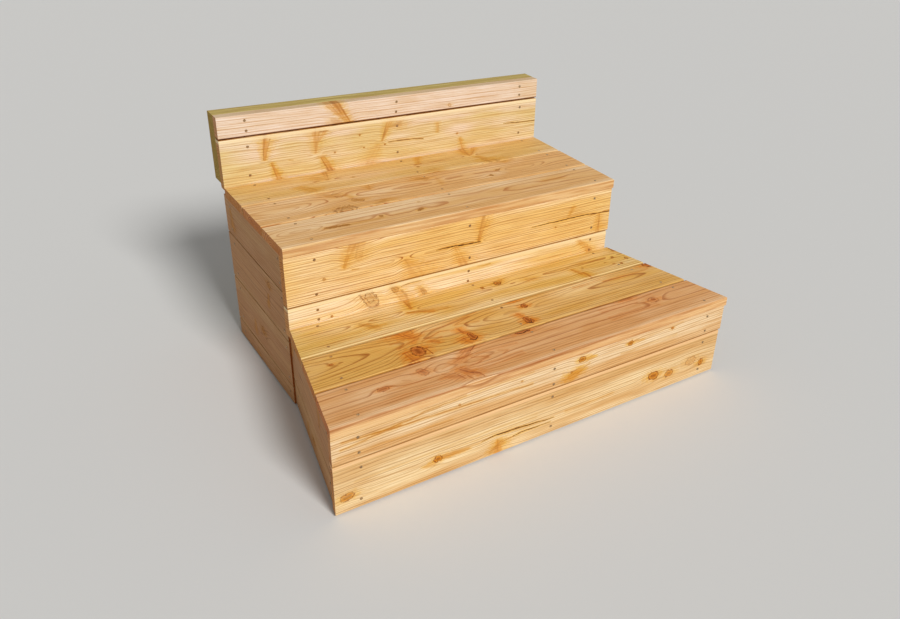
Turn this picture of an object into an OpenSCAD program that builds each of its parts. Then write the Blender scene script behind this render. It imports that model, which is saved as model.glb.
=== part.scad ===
// Wooden deck stairs: two closed box steps of planks on a timber frame.
// The lower step flares out on both sides, and a ledger carries the top riser.
// X runs along the treads, +Y points at the deck, Z is up from the ground.

/* [Boards] */
// Width of a full board, as used for the treads and risers
board_w = 145; // [125:1:155]
// Thickness of every tread, riser and side board
board_t = 28; // [22:1:34]
// Radius of the rounded long edges of a board
arris_r = 3; // [1:0.5:6]
// Gap between the boards of a tread
tread_gap = 5; // [2:1:8]
// Joint between the courses of a riser or a side
course_joint = 2; // [1:0.5:4]
// Joint between the two boards of the top riser
top_joint = 4; // [1:0.5:6]

/* [Steps] */
// Width of the upper step, over the ends of its tread
stair_w = 1066; // [900:1:1300]
// Height of the lower tread above the ground
lower_rise = 262; // [240:1:290]
// Height of the upper tread above the lower tread
upper_rise = 235; // [215:1:260]
// Height of the top riser above the upper tread
top_riser_h = 203; // [190:1:225]
// How far the top riser reaches down behind the upper tread
riser_tuck = 8; // [2:1:15]
// How far the front of a tread stands past its riser
nosing = 3; // [1:1:10]
// How far the ends of a tread stand past the side boards
end_overhang = 4; // [1:1:10]
// Height of the ripped first course of the upper step's sides
side_rip_h = 115; // [90:1:125]
// How far the lowest boards stay clear of the ground
ground_gap = 5; // [1:1:12]

/* [Flare of the lower step] */
// How far the left front corner of the lower tread stands out
flare_left = 80; // [20:1:120]
// How far the right front corner of the lower tread stands out
flare_right = 108; // [20:1:140]

/* [Riser ends] */
// How far the upper board of a riser stops short of the right end of its tread
upper_board_short = 3; // [1:1:12]
// How far the lower board of a riser stops short of the right end of its tread
lower_board_short = 8; // [1:1:20]

/* [Frame] */
// Thickness of the uprights, bearers, back rail and ledger
timber_t = 48; // [36:1:60]
// Width of the uprights, bearers and back rail, and side of a back post
timber_w = 98; // [80:1:110]
// Height of the ledger behind the top riser
ledger_h = 198; // [175:1:200]
// How far the middle supports stand to the right of the centre line
middle_offset = 10; // [-60:1:60]

/* [Hidden] */

LEFT = -1;
MIDDLE = 0;
RIGHT = 1;
BACK_BOARD = 0;
MIDDLE_BOARD = 1;
FRONT_BOARD = 2;
SIDE_COURSES = 4;
ARC_FN = 32;
CUT = 1; // how far a cutting shape runs past the face it cuts

// A board ripped to width keeps its rounded corners on one edge
FULL_WIDTH = 0;
SAWN_BELOW = 1;
SAWN_ABOVE = 2;

// Heights
lower_under = lower_rise - board_t;
upper_top = lower_rise + upper_rise;
upper_under = upper_top - board_t;
stair_h = upper_top + top_riser_h;
ledger_z = stair_h - ledger_h;

// Depths, from the face of the top riser at y = 0 towards the front
tread_d = 3 * board_w + 2 * tread_gap;
upper_face = nosing - tread_d;
lower_face = 2 * nosing - 2 * tread_d;
upper_back = upper_face + board_t;
lower_back = lower_face + board_t;
stair_back = board_t + timber_t;
stair_front = lower_face - nosing;

// Widths, from the centre line of the upper step
half_w = stair_w / 2;
side_inset = end_overhang + board_t;
line_inset = side_inset + timber_w / 2;

// The origin is on the ground, at the middle of the whole outline
shift_x = (flare_left - flare_right) / 2;
shift_y = -(stair_back + stair_front) / 2;

module to_origin() { translate([shift_x, shift_y, 0]) children(); }

// Angle by which a side of the lower step turns out
function flare_angle(side) =
    atan((side == LEFT ? flare_left : flare_right) / (upper_face - stair_front));

// X of a line that runs along a side of the lower step, a set distance inside it
function flare_x(side, y, inset) =
    side * (half_w + tan(flare_angle(side)) * (upper_face - y) - inset / cos(flare_angle(side)));

// X of the centre line of a row of supports in the upper step
function upper_line_x(side) = side == MIDDLE ? middle_offset : side * (half_w - line_inset);

// The same in the lower step, where the outer rows follow the flare
function lower_line_x(side, y, across) =
    side == MIDDLE ? middle_offset + across : flare_x(side, y, line_inset + across);

// Cross-section of a board, with rounded corners where it isn't sawn
module board_profile(w, h, rip) {
    low = rip == SAWN_BELOW ? 0 : arris_r;
    high = rip == SAWN_ABOVE ? h : h - arris_r;
    translate([arris_r, 0]) square([w - 2 * arris_r, h]);
    translate([0, low]) square([w, high - low]);
    for (x = [arris_r, w - arris_r]) {
        if (rip != SAWN_BELOW) translate([x, low]) circle(r = arris_r, $fn = ARC_FN);
        if (rip != SAWN_ABOVE) translate([x, high]) circle(r = arris_r, $fn = ARC_FN);
    }
}

// Board along X
module board_x(len, w, h, rip = FULL_WIDTH) {
    rotate([90, 0, 90]) linear_extrude(len) board_profile(w, h, rip);
}

// Board along Y, which runs forward from y = 0
module board_y(len, w, h, rip = FULL_WIDTH) {
    rotate([90, 0, 0]) linear_extrude(len) board_profile(w, h, rip);
}

// Block between the two flared sides, set in by its own distance on each
module flared_field(left_inset, right_inset, y_a, y_b, z, h) {
    translate([0, 0, z]) linear_extrude(h) polygon([
        [flare_x(LEFT, y_a, left_inset), y_a],
        [flare_x(RIGHT, y_a, right_inset), y_a],
        [flare_x(RIGHT, y_b, right_inset), y_b],
        [flare_x(LEFT, y_b, left_inset), y_b]
    ]);
}

// Block on a row of supports in the lower step, with sides along that row
module row_block(side, width, y_a, y_b, z, h) {
    translate([0, 0, z]) linear_extrude(h) polygon([
        [lower_line_x(side, y_a, -width / 2), y_a],
        [lower_line_x(side, y_a, width / 2), y_a],
        [lower_line_x(side, y_b, width / 2), y_b],
        [lower_line_x(side, y_b, -width / 2), y_b]
    ]);
}

// Block on a row of supports in the upper step
module upper_block(side, width, y_a, y_b, z, h) {
    translate([upper_line_x(side) - width / 2, y_a, z]) cube([width, y_b - y_a, h]);
}

// Treads

module upper_tread(place, tint) {
    back = -place * (board_w + tread_gap);
    color(tint) to_origin()
        translate([-half_w, back - board_w, upper_under]) board_x(stair_w, board_w, board_t);
}

// A board of the lower tread, with both ends cut to the flare
module lower_tread(place, tint) {
    back = upper_face - place * (board_w + tread_gap);
    overlong = stair_w + 2 * (flare_left + flare_right);
    color(tint) to_origin() intersection() {
        translate([-overlong / 2, back - board_w, lower_under]) board_x(overlong, board_w, board_t);
        flared_field(0, 0, back + CUT, back - board_w - CUT, lower_under - CUT, board_t + 2 * CUT);
    }
}

// Risers

module straight_riser(y, short, z, h, rip, tint) {
    color(tint) to_origin()
        translate([-half_w, y, z]) board_x(stair_w - short, board_t, h, rip);
}

// A board of the front riser, with both ends bevelled to the flare
module flared_riser(short, z, h, rip, tint) {
    overlong = stair_w + 2 * (flare_left + flare_right);
    color(tint) to_origin() intersection() {
        translate([-overlong / 2, lower_face, z]) board_x(overlong, board_t, h, rip);
        flared_field(0, short, lower_back + CUT, lower_face - CUT, z - CUT, h + 2 * CUT);
    }
}

module top_riser_board() {
    z = upper_top - riser_tuck;
    straight_riser(0, 0, z, board_w, FULL_WIDTH, "burlywood");
}

module top_riser_strip() {
    z = upper_top - riser_tuck + board_w + top_joint;
    straight_riser(0, 0, z, stair_h - z, SAWN_ABOVE, "mistyrose");
}

module upper_riser_board() {
    z = upper_under - board_w;
    straight_riser(upper_face, upper_board_short, z, board_w, FULL_WIDTH, "sandybrown");
}

// The ripped strip stands on the lower bearers, behind the lower tread
module upper_riser_strip() {
    h = upper_rise - board_w - course_joint;
    straight_riser(upper_face, lower_board_short, lower_under, h, SAWN_BELOW, "peachpuff");
}

module lower_riser_strip() {
    z = ground_gap + board_w + course_joint;
    flared_riser(upper_board_short, z, lower_under - z, SAWN_ABOVE, "wheat");
}

module lower_riser_board() {
    flared_riser(lower_board_short, ground_gap, board_w, FULL_WIDTH, "sandybrown");
}

// Sides of the upper step, counted down from the tread

function course_top(n) =
    n == 1 ? upper_under : course_top(n - 1) - course_height(n - 1) - course_joint;

function course_height(n) =
    n == 1 ? side_rip_h : n == SIDE_COURSES ? course_top(n) - ground_gap : board_w;

function course_rip(n) =
    n == 1 ? SAWN_ABOVE : n == SIDE_COURSES ? SAWN_BELOW : FULL_WIDTH;

module side_course(side, n) {
    x = side == LEFT ? end_overhang - half_w : half_w - side_inset;
    h = course_height(n);
    color("tan") to_origin()
        translate([x, board_t, course_top(n) - h])
            board_y(board_t - upper_back, board_t, h, course_rip(n));
}

// Sides of the lower step, which follow the flare

module flared_side(side, z, h, rip) {
    reach = upper_back - lower_back;
    color("tan") to_origin() intersection() {
        translate([flare_x(side, upper_back, end_overhang), upper_back, z])
            rotate([0, 0, side * flare_angle(side)])
                translate([side == RIGHT ? -board_t : 0, reach / 2, 0])
                    board_y(2 * reach, board_t, h, rip);
        translate([-stair_w, lower_back, z - CUT]) cube([2 * stair_w, reach, h + 2 * CUT]);
    }
}

module flared_side_top(side) {
    flared_side(side, lower_under - board_w, board_w, FULL_WIDTH);
}

module flared_side_bottom(side) {
    h = lower_under - board_w - course_joint - ground_gap;
    flared_side(side, ground_gap, h, SAWN_BELOW);
}

// Frame

module ledger() {
    color("darkkhaki") to_origin()
        translate([-half_w, board_t, ledger_z]) board_x(stair_w, timber_t, ledger_h);
}

// Rail across the front of the upper uprights, under the lower bearers
module back_rail() {
    color("darkkhaki") to_origin()
        flared_field(side_inset, side_inset, upper_back, upper_back - timber_t,
            lower_under - 2 * timber_w, timber_w);
}

// Post notched for the ledger behind and mortised for the bearer in front
module back_post(side) {
    color("darkkhaki") to_origin() difference() {
        upper_block(side, timber_w, stair_back - timber_w, stair_back, 0, ledger_z);
        upper_block(side, timber_w + 2 * CUT, stair_back - timber_w - CUT, board_t,
            upper_under, ledger_z - upper_under + CUT);
        upper_block(side, timber_t, stair_back - timber_w - CUT, board_t,
            upper_under - timber_w, timber_w + CUT);
    }
}

// Upright with an open slot for the bearer
module upper_upright(side) {
    color("darkkhaki") to_origin() difference() {
        upper_block(side, timber_w, upper_back, upper_back + timber_t, 0, upper_under);
        upper_block(side, timber_t, upper_back - CUT, upper_back + timber_t + CUT,
            upper_under - timber_w, timber_w + CUT);
    }
}

module upper_bearer(side) {
    color("darkkhaki") to_origin()
        upper_block(side, timber_t, upper_back, board_t, upper_under - timber_w, timber_w);
}

// Upright of the lower step, bevelled to the flare, with an open slot for the bearer
module lower_upright(side) {
    color("darkkhaki") to_origin() difference() {
        row_block(side, timber_w, lower_back, lower_back + timber_t, 0, lower_under);
        row_block(side, timber_t, lower_back - CUT, lower_back + timber_t + CUT,
            lower_under - timber_w, timber_w + CUT);
    }
}

module lower_bearer(side) {
    color("darkkhaki") to_origin()
        row_block(side, timber_t, lower_back, upper_back, lower_under - timber_w, timber_w);
}

upper_tread(BACK_BOARD, "burlywood");  // upper_tread_back
upper_tread(MIDDLE_BOARD, "burlywood");  // upper_tread_middle
upper_tread(FRONT_BOARD, "sandybrown");  // upper_tread_front
lower_tread(BACK_BOARD, "burlywood");  // lower_tread_back
lower_tread(MIDDLE_BOARD, "sandybrown");  // lower_tread_middle
lower_tread(FRONT_BOARD, "darksalmon");  // lower_tread_front
top_riser_strip();
top_riser_board();
upper_riser_board();
upper_riser_strip();
lower_riser_strip();
lower_riser_board();
side_course(LEFT, 1);  // left_side_course_1
side_course(LEFT, 2);  // left_side_course_2
side_course(LEFT, 3);  // left_side_course_3
side_course(LEFT, 4);  // left_side_course_4
side_course(RIGHT, 1);  // right_side_course_1
side_course(RIGHT, 2);  // right_side_course_2
side_course(RIGHT, 3);  // right_side_course_3
side_course(RIGHT, 4);  // right_side_course_4
flared_side_top(LEFT);  // left_flared_side_top
flared_side_bottom(LEFT);  // left_flared_side_bottom
flared_side_top(RIGHT);  // right_flared_side_top
flared_side_bottom(RIGHT);  // right_flared_side_bottom
ledger();
back_rail();
back_post(LEFT);  // back_post_left
back_post(MIDDLE);  // back_post_middle
back_post(RIGHT);  // back_post_right
upper_upright(LEFT);  // upper_upright_left
upper_upright(MIDDLE);  // upper_upright_middle
upper_upright(RIGHT);  // upper_upright_right
upper_bearer(LEFT);  // upper_bearer_left
upper_bearer(MIDDLE);  // upper_bearer_middle
upper_bearer(RIGHT);  // upper_bearer_right
lower_upright(LEFT);  // lower_upright_left
lower_upright(MIDDLE);  // lower_upright_middle
lower_upright(RIGHT);  // lower_upright_right
lower_bearer(LEFT);  // lower_bearer_left
lower_bearer(MIDDLE);  // lower_bearer_middle
lower_bearer(RIGHT);  // lower_bearer_right
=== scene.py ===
"""Wooden deck stairs: boards, frame timbers and screws, dressed in softwood and steel.

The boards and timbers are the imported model's own solids. This script gives each of them the grain
of its place in the log, with its knots and drying checks, drives the screws, and sets up the studio.
Features of a board are given in millimetres on its face: first along the board, then across it.
"""

import logging
import math
import random
from dataclasses import dataclass
from enum import Enum
from functools import partial
from itertools import pairwise

import bpy
from mathutils import Matrix, Vector


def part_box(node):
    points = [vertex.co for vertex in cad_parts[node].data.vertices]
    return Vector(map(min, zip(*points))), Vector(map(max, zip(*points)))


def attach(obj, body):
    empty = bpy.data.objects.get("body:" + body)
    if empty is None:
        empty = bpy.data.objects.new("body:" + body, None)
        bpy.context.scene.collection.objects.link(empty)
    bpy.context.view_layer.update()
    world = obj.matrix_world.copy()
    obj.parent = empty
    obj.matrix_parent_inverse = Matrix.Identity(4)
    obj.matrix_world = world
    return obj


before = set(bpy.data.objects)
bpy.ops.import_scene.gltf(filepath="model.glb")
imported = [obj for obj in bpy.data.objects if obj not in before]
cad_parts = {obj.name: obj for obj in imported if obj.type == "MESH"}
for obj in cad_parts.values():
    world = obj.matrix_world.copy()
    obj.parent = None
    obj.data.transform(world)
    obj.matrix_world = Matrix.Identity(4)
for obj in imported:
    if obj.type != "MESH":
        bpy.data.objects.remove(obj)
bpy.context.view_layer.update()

log = logging.getLogger("deck_stairs")

MM = 0.001
ROOT = "root"
PHOTO_WIDTH_PX = 900
SENSOR_MM = 36.0
SEED_STEP = Vector((3.7, 1.9, 0.7))
MATT_SPECULAR = 0.1
# The mean of a noise's colour.
GREY = (0.5, 0.5, 0.5)
# Parts of a place on a board that count: on its face, across its log, and in the halo round a knot.
FACE_ONLY, ACROSS_LOG, HALO_SHAPE = (1.0, 1.0, 0.0), (0.0, 1.0, 1.0), (0.45, 0.85, 0.0)
# How fine each noise in the wood is, per metre: along the grain, across it and into the board.
SLOW_BEND, RIPPLE = (2.4, 9.0, 9.0), (12.0, 55.0, 55.0)
FIBRE, THREAD, STREAK = (20.0, 800.0, 800.0), (8.0, 330.0, 330.0), (4.0, 120.0, 120.0)
CLOUD, PORE = (3.5, 20.0, 20.0), (60.0, 1200.0, 1200.0)
RAGGED, PATCHY = (90.0, 160.0, 20.0), (70.0, 70.0, 20.0)
WAVER, OPENING = (30.0, 26.0, 0.0), (55.0, 70.0, 0.0)
# How far ripples bend the rings and checks waver, how far streaks fray the heartwood's edge and how
# far that edge fades, in metres.
RIPPLE_BEND, CHECK_WAVER, HEART_FRAY, HEART_FADE = 0.003, 0.007, 0.012, 0.02
# How dark a streak or a thread is beside late wood, and how much light a dark line loses.
FAINT_LINE = 0.16
# How slowly red and how fast blue fall off in dark wood, beside green.
RED_POWER, BLUE_POWER = 0.5, 1.8
# Growth rings of a knot per metre, and the lines of a fanned one: in half its width, per metre along
# it, and how much they differ from knot to knot.
KNOT_RINGS, FAN_LINES, FAN_DRIFT, FAN_SEED = 230.0, 1.7, 16.0, 900.0
# How squarely a face looks across or along its board, from where it starts to count as the edge or the
# sawn end to where it does in full.
SIDE_ON, END_ON = (0.6, 0.9), (0.6, 0.8)
# How strong and how deep the bump of each material is.
WOOD_RELIEF, STEEL_RELIEF = (0.4, 0.12 * MM), (0.3, 0.05 * MM)
MERGE_DISTANCE = 0.01 * MM

Colour = tuple[float, float, float, float]
Pair = tuple[float, float]


def tint(*seen: int) -> Colour:
    """Turns a colour as the eye sees it into a linear one.

    Args:
        seen: Its red, green and blue, 0 to 255.

    Returns:
        The linear colour, with an alpha of 1.
    """
    shares = (value / 255.0 for value in seen)
    linear = (part / 12.92 if part <= 0.04045 else ((part + 0.055) / 1.055) ** 2.4 for part in shares)
    return (*linear, 1.0)


def on_face(along: float, across: float) -> Vector:
    """Returns a place on a board's face in metres, from millimetres."""
    return Vector((along, across, 0.0)) * MM


def add_object(name: str, data: bpy.types.ID) -> bpy.types.Object:
    """Puts a new object into the scene.

    Args:
        name: Its name.
        data: Its mesh, lamp or camera.

    Returns:
        The object.
    """
    item = bpy.data.objects.new(name, data)
    bpy.context.scene.collection.objects.link(item)
    return item


class Wire:
    """A value in a node tree. Arithmetic on it adds the Math or Vector Math nodes that work it out."""

    def __init__(self, wiring: "Wiring", socket: bpy.types.NodeSocket) -> None:
        """Wraps an output socket of the tree."""
        self.wiring, self.socket = wiring, socket
        self.is_vector = socket.type in ("VECTOR", "RGBA")

    def _reckon(self, operation: str, other: object) -> "Wire":
        """Returns the result of an operation that both numbers and vectors have."""
        return (self.wiring.vector if self.is_vector else self.wiring.math)(operation, self, other)

    def __add__(self, other: object) -> "Wire":
        """Returns the sum."""
        return self._reckon("ADD", other)

    def __sub__(self, other: object) -> "Wire":
        """Returns the difference."""
        return self._reckon("SUBTRACT", other)

    def __mul__(self, other: object) -> "Wire":
        """Returns the product, part by part, or of a vector and a number."""
        number = isinstance(other, float) or (isinstance(other, Wire) and not other.is_vector)
        return self._reckon("SCALE" if self.is_vector and number else "MULTIPLY", other)

    def __truediv__(self, other: object) -> "Wire":
        """Returns the quotient."""
        return self._reckon("DIVIDE", other)

    def at_least(self, other: object) -> "Wire":
        """Returns the larger of two numbers."""
        return self.wiring.math("MAXIMUM", self, other)

    def clamped(self) -> "Wire":
        """Holds the result of this sum or product between 0 and 1."""
        self.socket.node.use_clamp = True
        return self

    def fraction(self) -> "Wire":
        """Returns what is left over a whole number."""
        return self.wiring.math("FRACT", self)

    def length(self) -> "Wire":
        """Returns the vector's length."""
        return self.wiring.vector("LENGTH", self)

    def dot(self, other: object) -> "Wire":
        """Returns the dot product of two vectors."""
        return self.wiring.vector("DOT_PRODUCT", self, other)

    def split(self) -> tuple["Wire", ...]:
        """Returns the vector's three parts."""
        parts = self.wiring.add("ShaderNodeSeparateXYZ", {0: self}).outputs
        return tuple(Wire(self.wiring, part) for part in parts)

    def fade(self, start: object, end: object, at_start: float = 0.0, at_end: float = 1.0) -> "Wire":
        """Returns the value mapped smoothly from start and end to at_start and at_end, and held there."""
        values = dict(enumerate((self, start, end, at_start, at_end)))
        return self.wiring.get("ShaderNodeMapRange", 0, values, interpolation_type="SMOOTHSTEP")


class Wiring:
    """Adds nodes to a tree and links them, so that a finish reads as a list of steps."""

    def __init__(self, tree: bpy.types.NodeTree) -> None:
        """Starts on an emptied tree."""
        self.tree = tree
        self.tree.nodes.clear()

    @staticmethod
    def _pick(sockets: bpy.types.bpy_prop_collection, key: str | int) -> bpy.types.NodeSocket:
        """Finds a socket of a node.

        Args:
            sockets: The node's inputs or outputs.
            key: The socket's place, or its name, which counts where the node's settings switch it on.

        Returns:
            The socket.
        """
        if isinstance(key, int):
            return sockets[key]
        return next(socket for socket in sockets if socket.name == key and socket.enabled)

    def feed(self, node: bpy.types.Node, key: str | int, value: object) -> None:
        """Links a node's input to a wire, or sets it to a plain value.

        Args:
            node: The node.
            key: The input's name or place.
            value: A wire, or a number, vector, colour or text.
        """
        socket = self._pick(node.inputs, key)
        if isinstance(value, Wire):
            self.tree.links.new(value.socket, socket)
        else:
            socket.default_value = value

    def add(self, kind: str, values: dict | None = None, **settings: object) -> bpy.types.Node:
        """Adds a node.

        Args:
            kind: The node's type, such as ShaderNodeMath.
            values: Wires or plain values for its inputs, by name or place.
            settings: Its own properties, which are set first.

        Returns:
            The new node.
        """
        node = self.tree.nodes.new(kind)
        for name, setting in settings.items():
            setattr(node, name, setting)
        for key, value in (values or {}).items():
            self.feed(node, key, value)
        return node

    def get(self, kind: str, output: str | int, values: dict | None = None, **settings: object) -> Wire:
        """Adds a node and returns the output of that name or place."""
        return Wire(self, self._pick(self.add(kind, values, **settings).outputs, output))

    def math(self, operation: str, first: object, second: object = 0.0) -> Wire:
        """Returns the result of a Math node on two values."""
        return self.get("ShaderNodeMath", 0, {0: first, 1: second}, operation=operation)

    def vector(self, operation: str, first: object, second: object = (0.0, 0.0, 0.0)) -> Wire:
        """Adds a Vector Math node.

        Args:
            operation: What it does.
            first: Its first value.
            second: Its second value, or the scale.

        Returns:
            Its vector, or its number for a length or a dot product.
        """
        output = "Value" if operation in ("LENGTH", "DOT_PRODUCT", "DISTANCE") else "Vector"
        values = {0: first, "Scale" if operation == "SCALE" else 1: second}
        return self.get("ShaderNodeVectorMath", output, values, operation=operation)

    def join(self, along: object, across: object, deep: object) -> Wire:
        """Returns a vector made of three values."""
        return self.get("ShaderNodeCombineXYZ", 0, {0: along, 1: across, 2: deep})

    def noise(self, place: Wire, detail: float = 2.0, rough: float = 0.5, output: str = "Fac") -> Wire:
        """Returns a Noise Texture on a place that is already scaled."""
        values = {"Vector": place, "Scale": 1.0, "Detail": detail, "Roughness": rough}
        return self.get("ShaderNodeTexNoise", output, values)

    def blend(self, share: object, first: object, second: object, kind: str = "MIX") -> Wire:
        """Returns the first colour blended with a share of the second."""
        values = {"Factor": share, "A": first, "B": second}
        return self.get("ShaderNodeMix", "Result", values, data_type="RGBA", blend_type=kind)

    def group(self, tree: bpy.types.NodeTree, values: dict[str, object]) -> dict[str, Wire]:
        """Adds a group with these inputs and returns its outputs by name."""
        node = self.add("ShaderNodeGroup", values, node_tree=tree)
        return {socket.name: Wire(self, socket) for socket in node.outputs}

    def leave(self, values: dict[str, object]) -> bpy.types.NodeTree:
        """Ends a group with these outputs and returns its tree."""
        self.add("NodeGroupOutput", values)
        return self.tree

    def bump(self, relief: Wire, strength: float, depth: float) -> Wire:
        """Returns the normals of a bump as deep as that, in metres."""
        values = {"Strength": strength, "Distance": depth, "Height": relief}
        return self.get("ShaderNodeBump", "Normal", values)

    def surface(self, values: dict[str, object]) -> None:
        """Ends a material with a Principled shader that has these inputs."""
        shader = self.get("ShaderNodeBsdfPrincipled", "BSDF", values)
        self.add("ShaderNodeOutputMaterial", {"Surface": shader})


def new_group(
    name: str, inputs: dict[str, str], outputs: dict[str, str], kind: str = "Shader"
) -> tuple[Wiring, dict[str, Wire]]:
    """Makes an empty node group.

    Args:
        name: The group's name.
        inputs: The names of its inputs of each kind, such as Float or Vector.
        outputs: The names of its outputs of each kind.
        kind: Shader or Geometry.

    Returns:
        The wiring of the group and its inputs by name.
    """
    tree = bpy.data.node_groups.new(name, f"{kind}NodeTree")
    for direction, sockets in (("INPUT", inputs), ("OUTPUT", outputs)):
        for socket_kind, labels in sockets.items():
            for label in labels.split(", "):
                tree.interface.new_socket(label, in_out=direction, socket_type=f"NodeSocket{socket_kind}")
    wiring = Wiring(tree)
    entry = wiring.add("NodeGroupInput").outputs
    return wiring, {socket.name: Wire(wiring, socket) for socket in entry if socket.name}


def new_material(name: str) -> tuple[bpy.types.Material, Wiring]:
    """Makes an empty material.

    Args:
        name: Its name.

    Returns:
        The material and the wiring of its tree.
    """
    material = bpy.data.materials.new(name)
    material.use_nodes = True
    return material, Wiring(material.node_tree)


class Lay(Enum):
    """How a board lies: the directions along it and across its face. Their cross product points into it."""

    TREAD = ((1, 0, 0), (0, -1, 0))
    RISER = ((1, 0, 0), (0, 0, -1))
    LEFT_SIDE = ((0, -1, 0), (0, 0, -1))
    RIGHT_SIDE = ((0, 1, 0), (0, 0, -1))
    POST = ((0, 0, 1), (1, 0, 0))

    def axes(self, turn: float = 0.0) -> tuple[Vector, Vector, Vector]:
        """Gives the board's directions.

        Args:
            turn: Angle by which the board is turned about the vertical, in radians.

        Returns:
            The directions along the board, across its face and into it.
        """
        spin = Matrix.Rotation(turn, 3, "Z")
        along, across = (spin @ Vector(axis) for axis in self.value)
        return along, across, along.cross(across)

    def origin(self, node: str) -> Vector:
        """Finds the point on a board's face from which its features are measured.

        Args:
            node: The board's node.

        Returns:
            A point on the back or top edge, on the centre line of the upper step for a tread or riser,
            and at the front end for a side. For a post it is the low corner.
        """
        low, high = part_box(node)
        middle = sum(corner.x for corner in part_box("upper_tread_front")) / 2
        return {
            Lay.TREAD: Vector((middle, high.y, high.z)),
            Lay.RISER: Vector((middle, low.y, high.z)),
            Lay.LEFT_SIDE: Vector((low.x, low.y, high.z)),
            Lay.RIGHT_SIDE: Vector((high.x, low.y, high.z)),
            Lay.POST: low,
        }[self]


@dataclass(frozen=True)
class Grain:
    """Where in the log a board was cut, in millimetres on its face.

    Attributes:
        pith_across: Distance of the pith from the board's back or top edge.
        pith_depth: Depth of the pith under the face.
        ring: Mean width of a growth ring.
        rise: How much deeper the pith lies for each metre along the board.
        sweep: How far the pith drifts across the board for each metre along it.
        wander: How far the rings wander off their circles.
        heart: Radius of the reddish heartwood.
        contrast: How plainly the late wood stands out, 0 to 1.
    """

    pith_across: float
    pith_depth: float
    ring: float
    rise: float = 0.0
    sweep: float = 0.0
    wander: float = 7.0
    heart: float = 60.0
    contrast: float = 0.8


@dataclass(frozen=True)
class KnotLook:
    """How a kind of knot shows.

    Attributes:
        core: How much of the knot's own colour its inside takes.
        rim: How plainly its outline or its lines show.
        glow: How warm the wood round it is.
        lift: How far it lifts the rings round it, in shares of its half width.
        fan: Whether its lines fan out along it, or run round it.
    """

    core: float
    rim: float
    glow: float
    lift: float
    fan: bool = False


class KnotKind(Enum):
    """The kinds of knot, by how the branch was cut."""

    ROUND = KnotLook(0.9, 1.0, 1.0, 0.7)
    RINGED = KnotLook(0.4, 1.0, 0.8, 0.6)
    SPIKE = KnotLook(0.72, 0.42, 1.0, 0.35, fan=True)
    PIN = KnotLook(0.9, 1.0, 0.6, 0.6)
    HAZE = KnotLook(0.4, 0.34, 1.0, 0.4, fan=True)


@dataclass(frozen=True)
class Knot:
    """A knot, from its thin end at the pith to its thick one.

    Attributes:
        kind: How the branch was cut.
        along: Place of the thin end along the board.
        across: Its place across the board.
        end_along: Place of the thick end along the board.
        end_across: Its place across the board.
        thin: Half the width at the thin end.
        thick: Half the width at the thick end.
        strength: How strongly it shows, 0 to 1.
    """

    kind: KnotKind
    along: float
    across: float
    end_along: float
    end_across: float
    thin: float
    thick: float
    strength: float = 1.0

    @classmethod
    def spot(
        cls, kind: KnotKind, along: float, across: float, half: float, strength: float = 1.0
    ) -> "Knot":
        """Returns a knot of a branch that was cut straight across."""
        return cls(kind, along, across, along, across, half, half, strength)


# Knots that run from a thin end to a thick one, and knots cut straight across.
spike, haze, oval = (partial(Knot, kind) for kind in (KnotKind.SPIKE, KnotKind.HAZE, KnotKind.ROUND))
ringed_oval, long_pin = partial(Knot, KnotKind.RINGED), partial(Knot, KnotKind.PIN)
disc, ringed = partial(Knot.spot, KnotKind.ROUND), partial(Knot.spot, KnotKind.RINGED)
pin = partial(Knot.spot, KnotKind.PIN)


@dataclass(frozen=True)
class Patch:
    """A soft oval: wood that is paler or warmer than round it, or rings that a bow of the trunk lifts.

    Attributes:
        along: Place of its middle along the board.
        across: Its place across the board.
        reach_along: How far it reaches along the board.
        reach_across: How far it reaches across it.
        height: How warm it is, or by how many millimetres it lifts the rings. Less than zero for pale
            or lowered.
    """

    along: float
    across: float
    reach_along: float
    reach_across: float
    height: float


@dataclass(frozen=True)
class Check:
    """A drying check, or a dark vein along a ring.

    Attributes:
        depth: How far it has opened, from 0.3 for a brown vein to 1 for a split.
        points: Places that it runs through, along and across the board, and half its width there.
    """

    depth: float
    points: tuple[tuple[float, float, float], ...]


@dataclass(frozen=True)
class EdgeLine:
    """A thin line along one edge of a board's face: a painted highlight on its rounded edge, or the painted
    shade beside a gap.

    Attributes:
        full: Distance from the edge up to which the line has its full strength, in millimetres.
        gone: Distance at which it has faded out.
        strength: How plain it is, 0 to 1.
        pale: Whether it is a painted highlight. Else it is painted shade.
        far: Whether it runs along the front or bottom edge. Else it runs along the back or top one.
    """

    full: float
    gone: float
    strength: float
    pale: bool = False
    far: bool = False


@dataclass(frozen=True)
class WoodTone:
    """The colours of one log, linear, and how matt its planed face is.

    Attributes:
        sap: Sapwood.
        heart: Heartwood and warm wood.
        late: The dark line of a growth ring.
        knot: The wood of a knot.
        rim: A knot's rim and dark lines, and the painted shade beside the gaps at a board's edges.
        glow: Tints the wood round a knot.
        end_grain: Tints the sawn ends.
        edge: Tints the narrow sides.
        highlight_and_pale_streak: The painted highlight along a board's rounded edges, and pale streaks on
            its narrow sides.
        edge_lines: How plain dark lines are on the narrow sides, 0 to 1.
        check: The bottom of a drying check.
        roughness: How matt the face is.
    """

    sap: Colour
    heart: Colour
    late: Colour
    knot: Colour = tint(206, 142, 66)
    # The rim colour also paints the shade beside the gaps between boards.
    rim: Colour = tint(132, 70, 16)
    glow: Colour = tint(247, 226, 156)
    end_grain: Colour = tint(228, 186, 142)
    edge: Colour = tint(238, 229, 210)
    # Paints the highlight along rounded edges, where light would catch them, and the pale streaks on narrow
    # sides.
    highlight_and_pale_streak: Colour = tint(255, 224, 164)
    edge_lines: float = 0.25
    check: Colour = tint(78, 44, 22)
    roughness: float = 0.6


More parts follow.
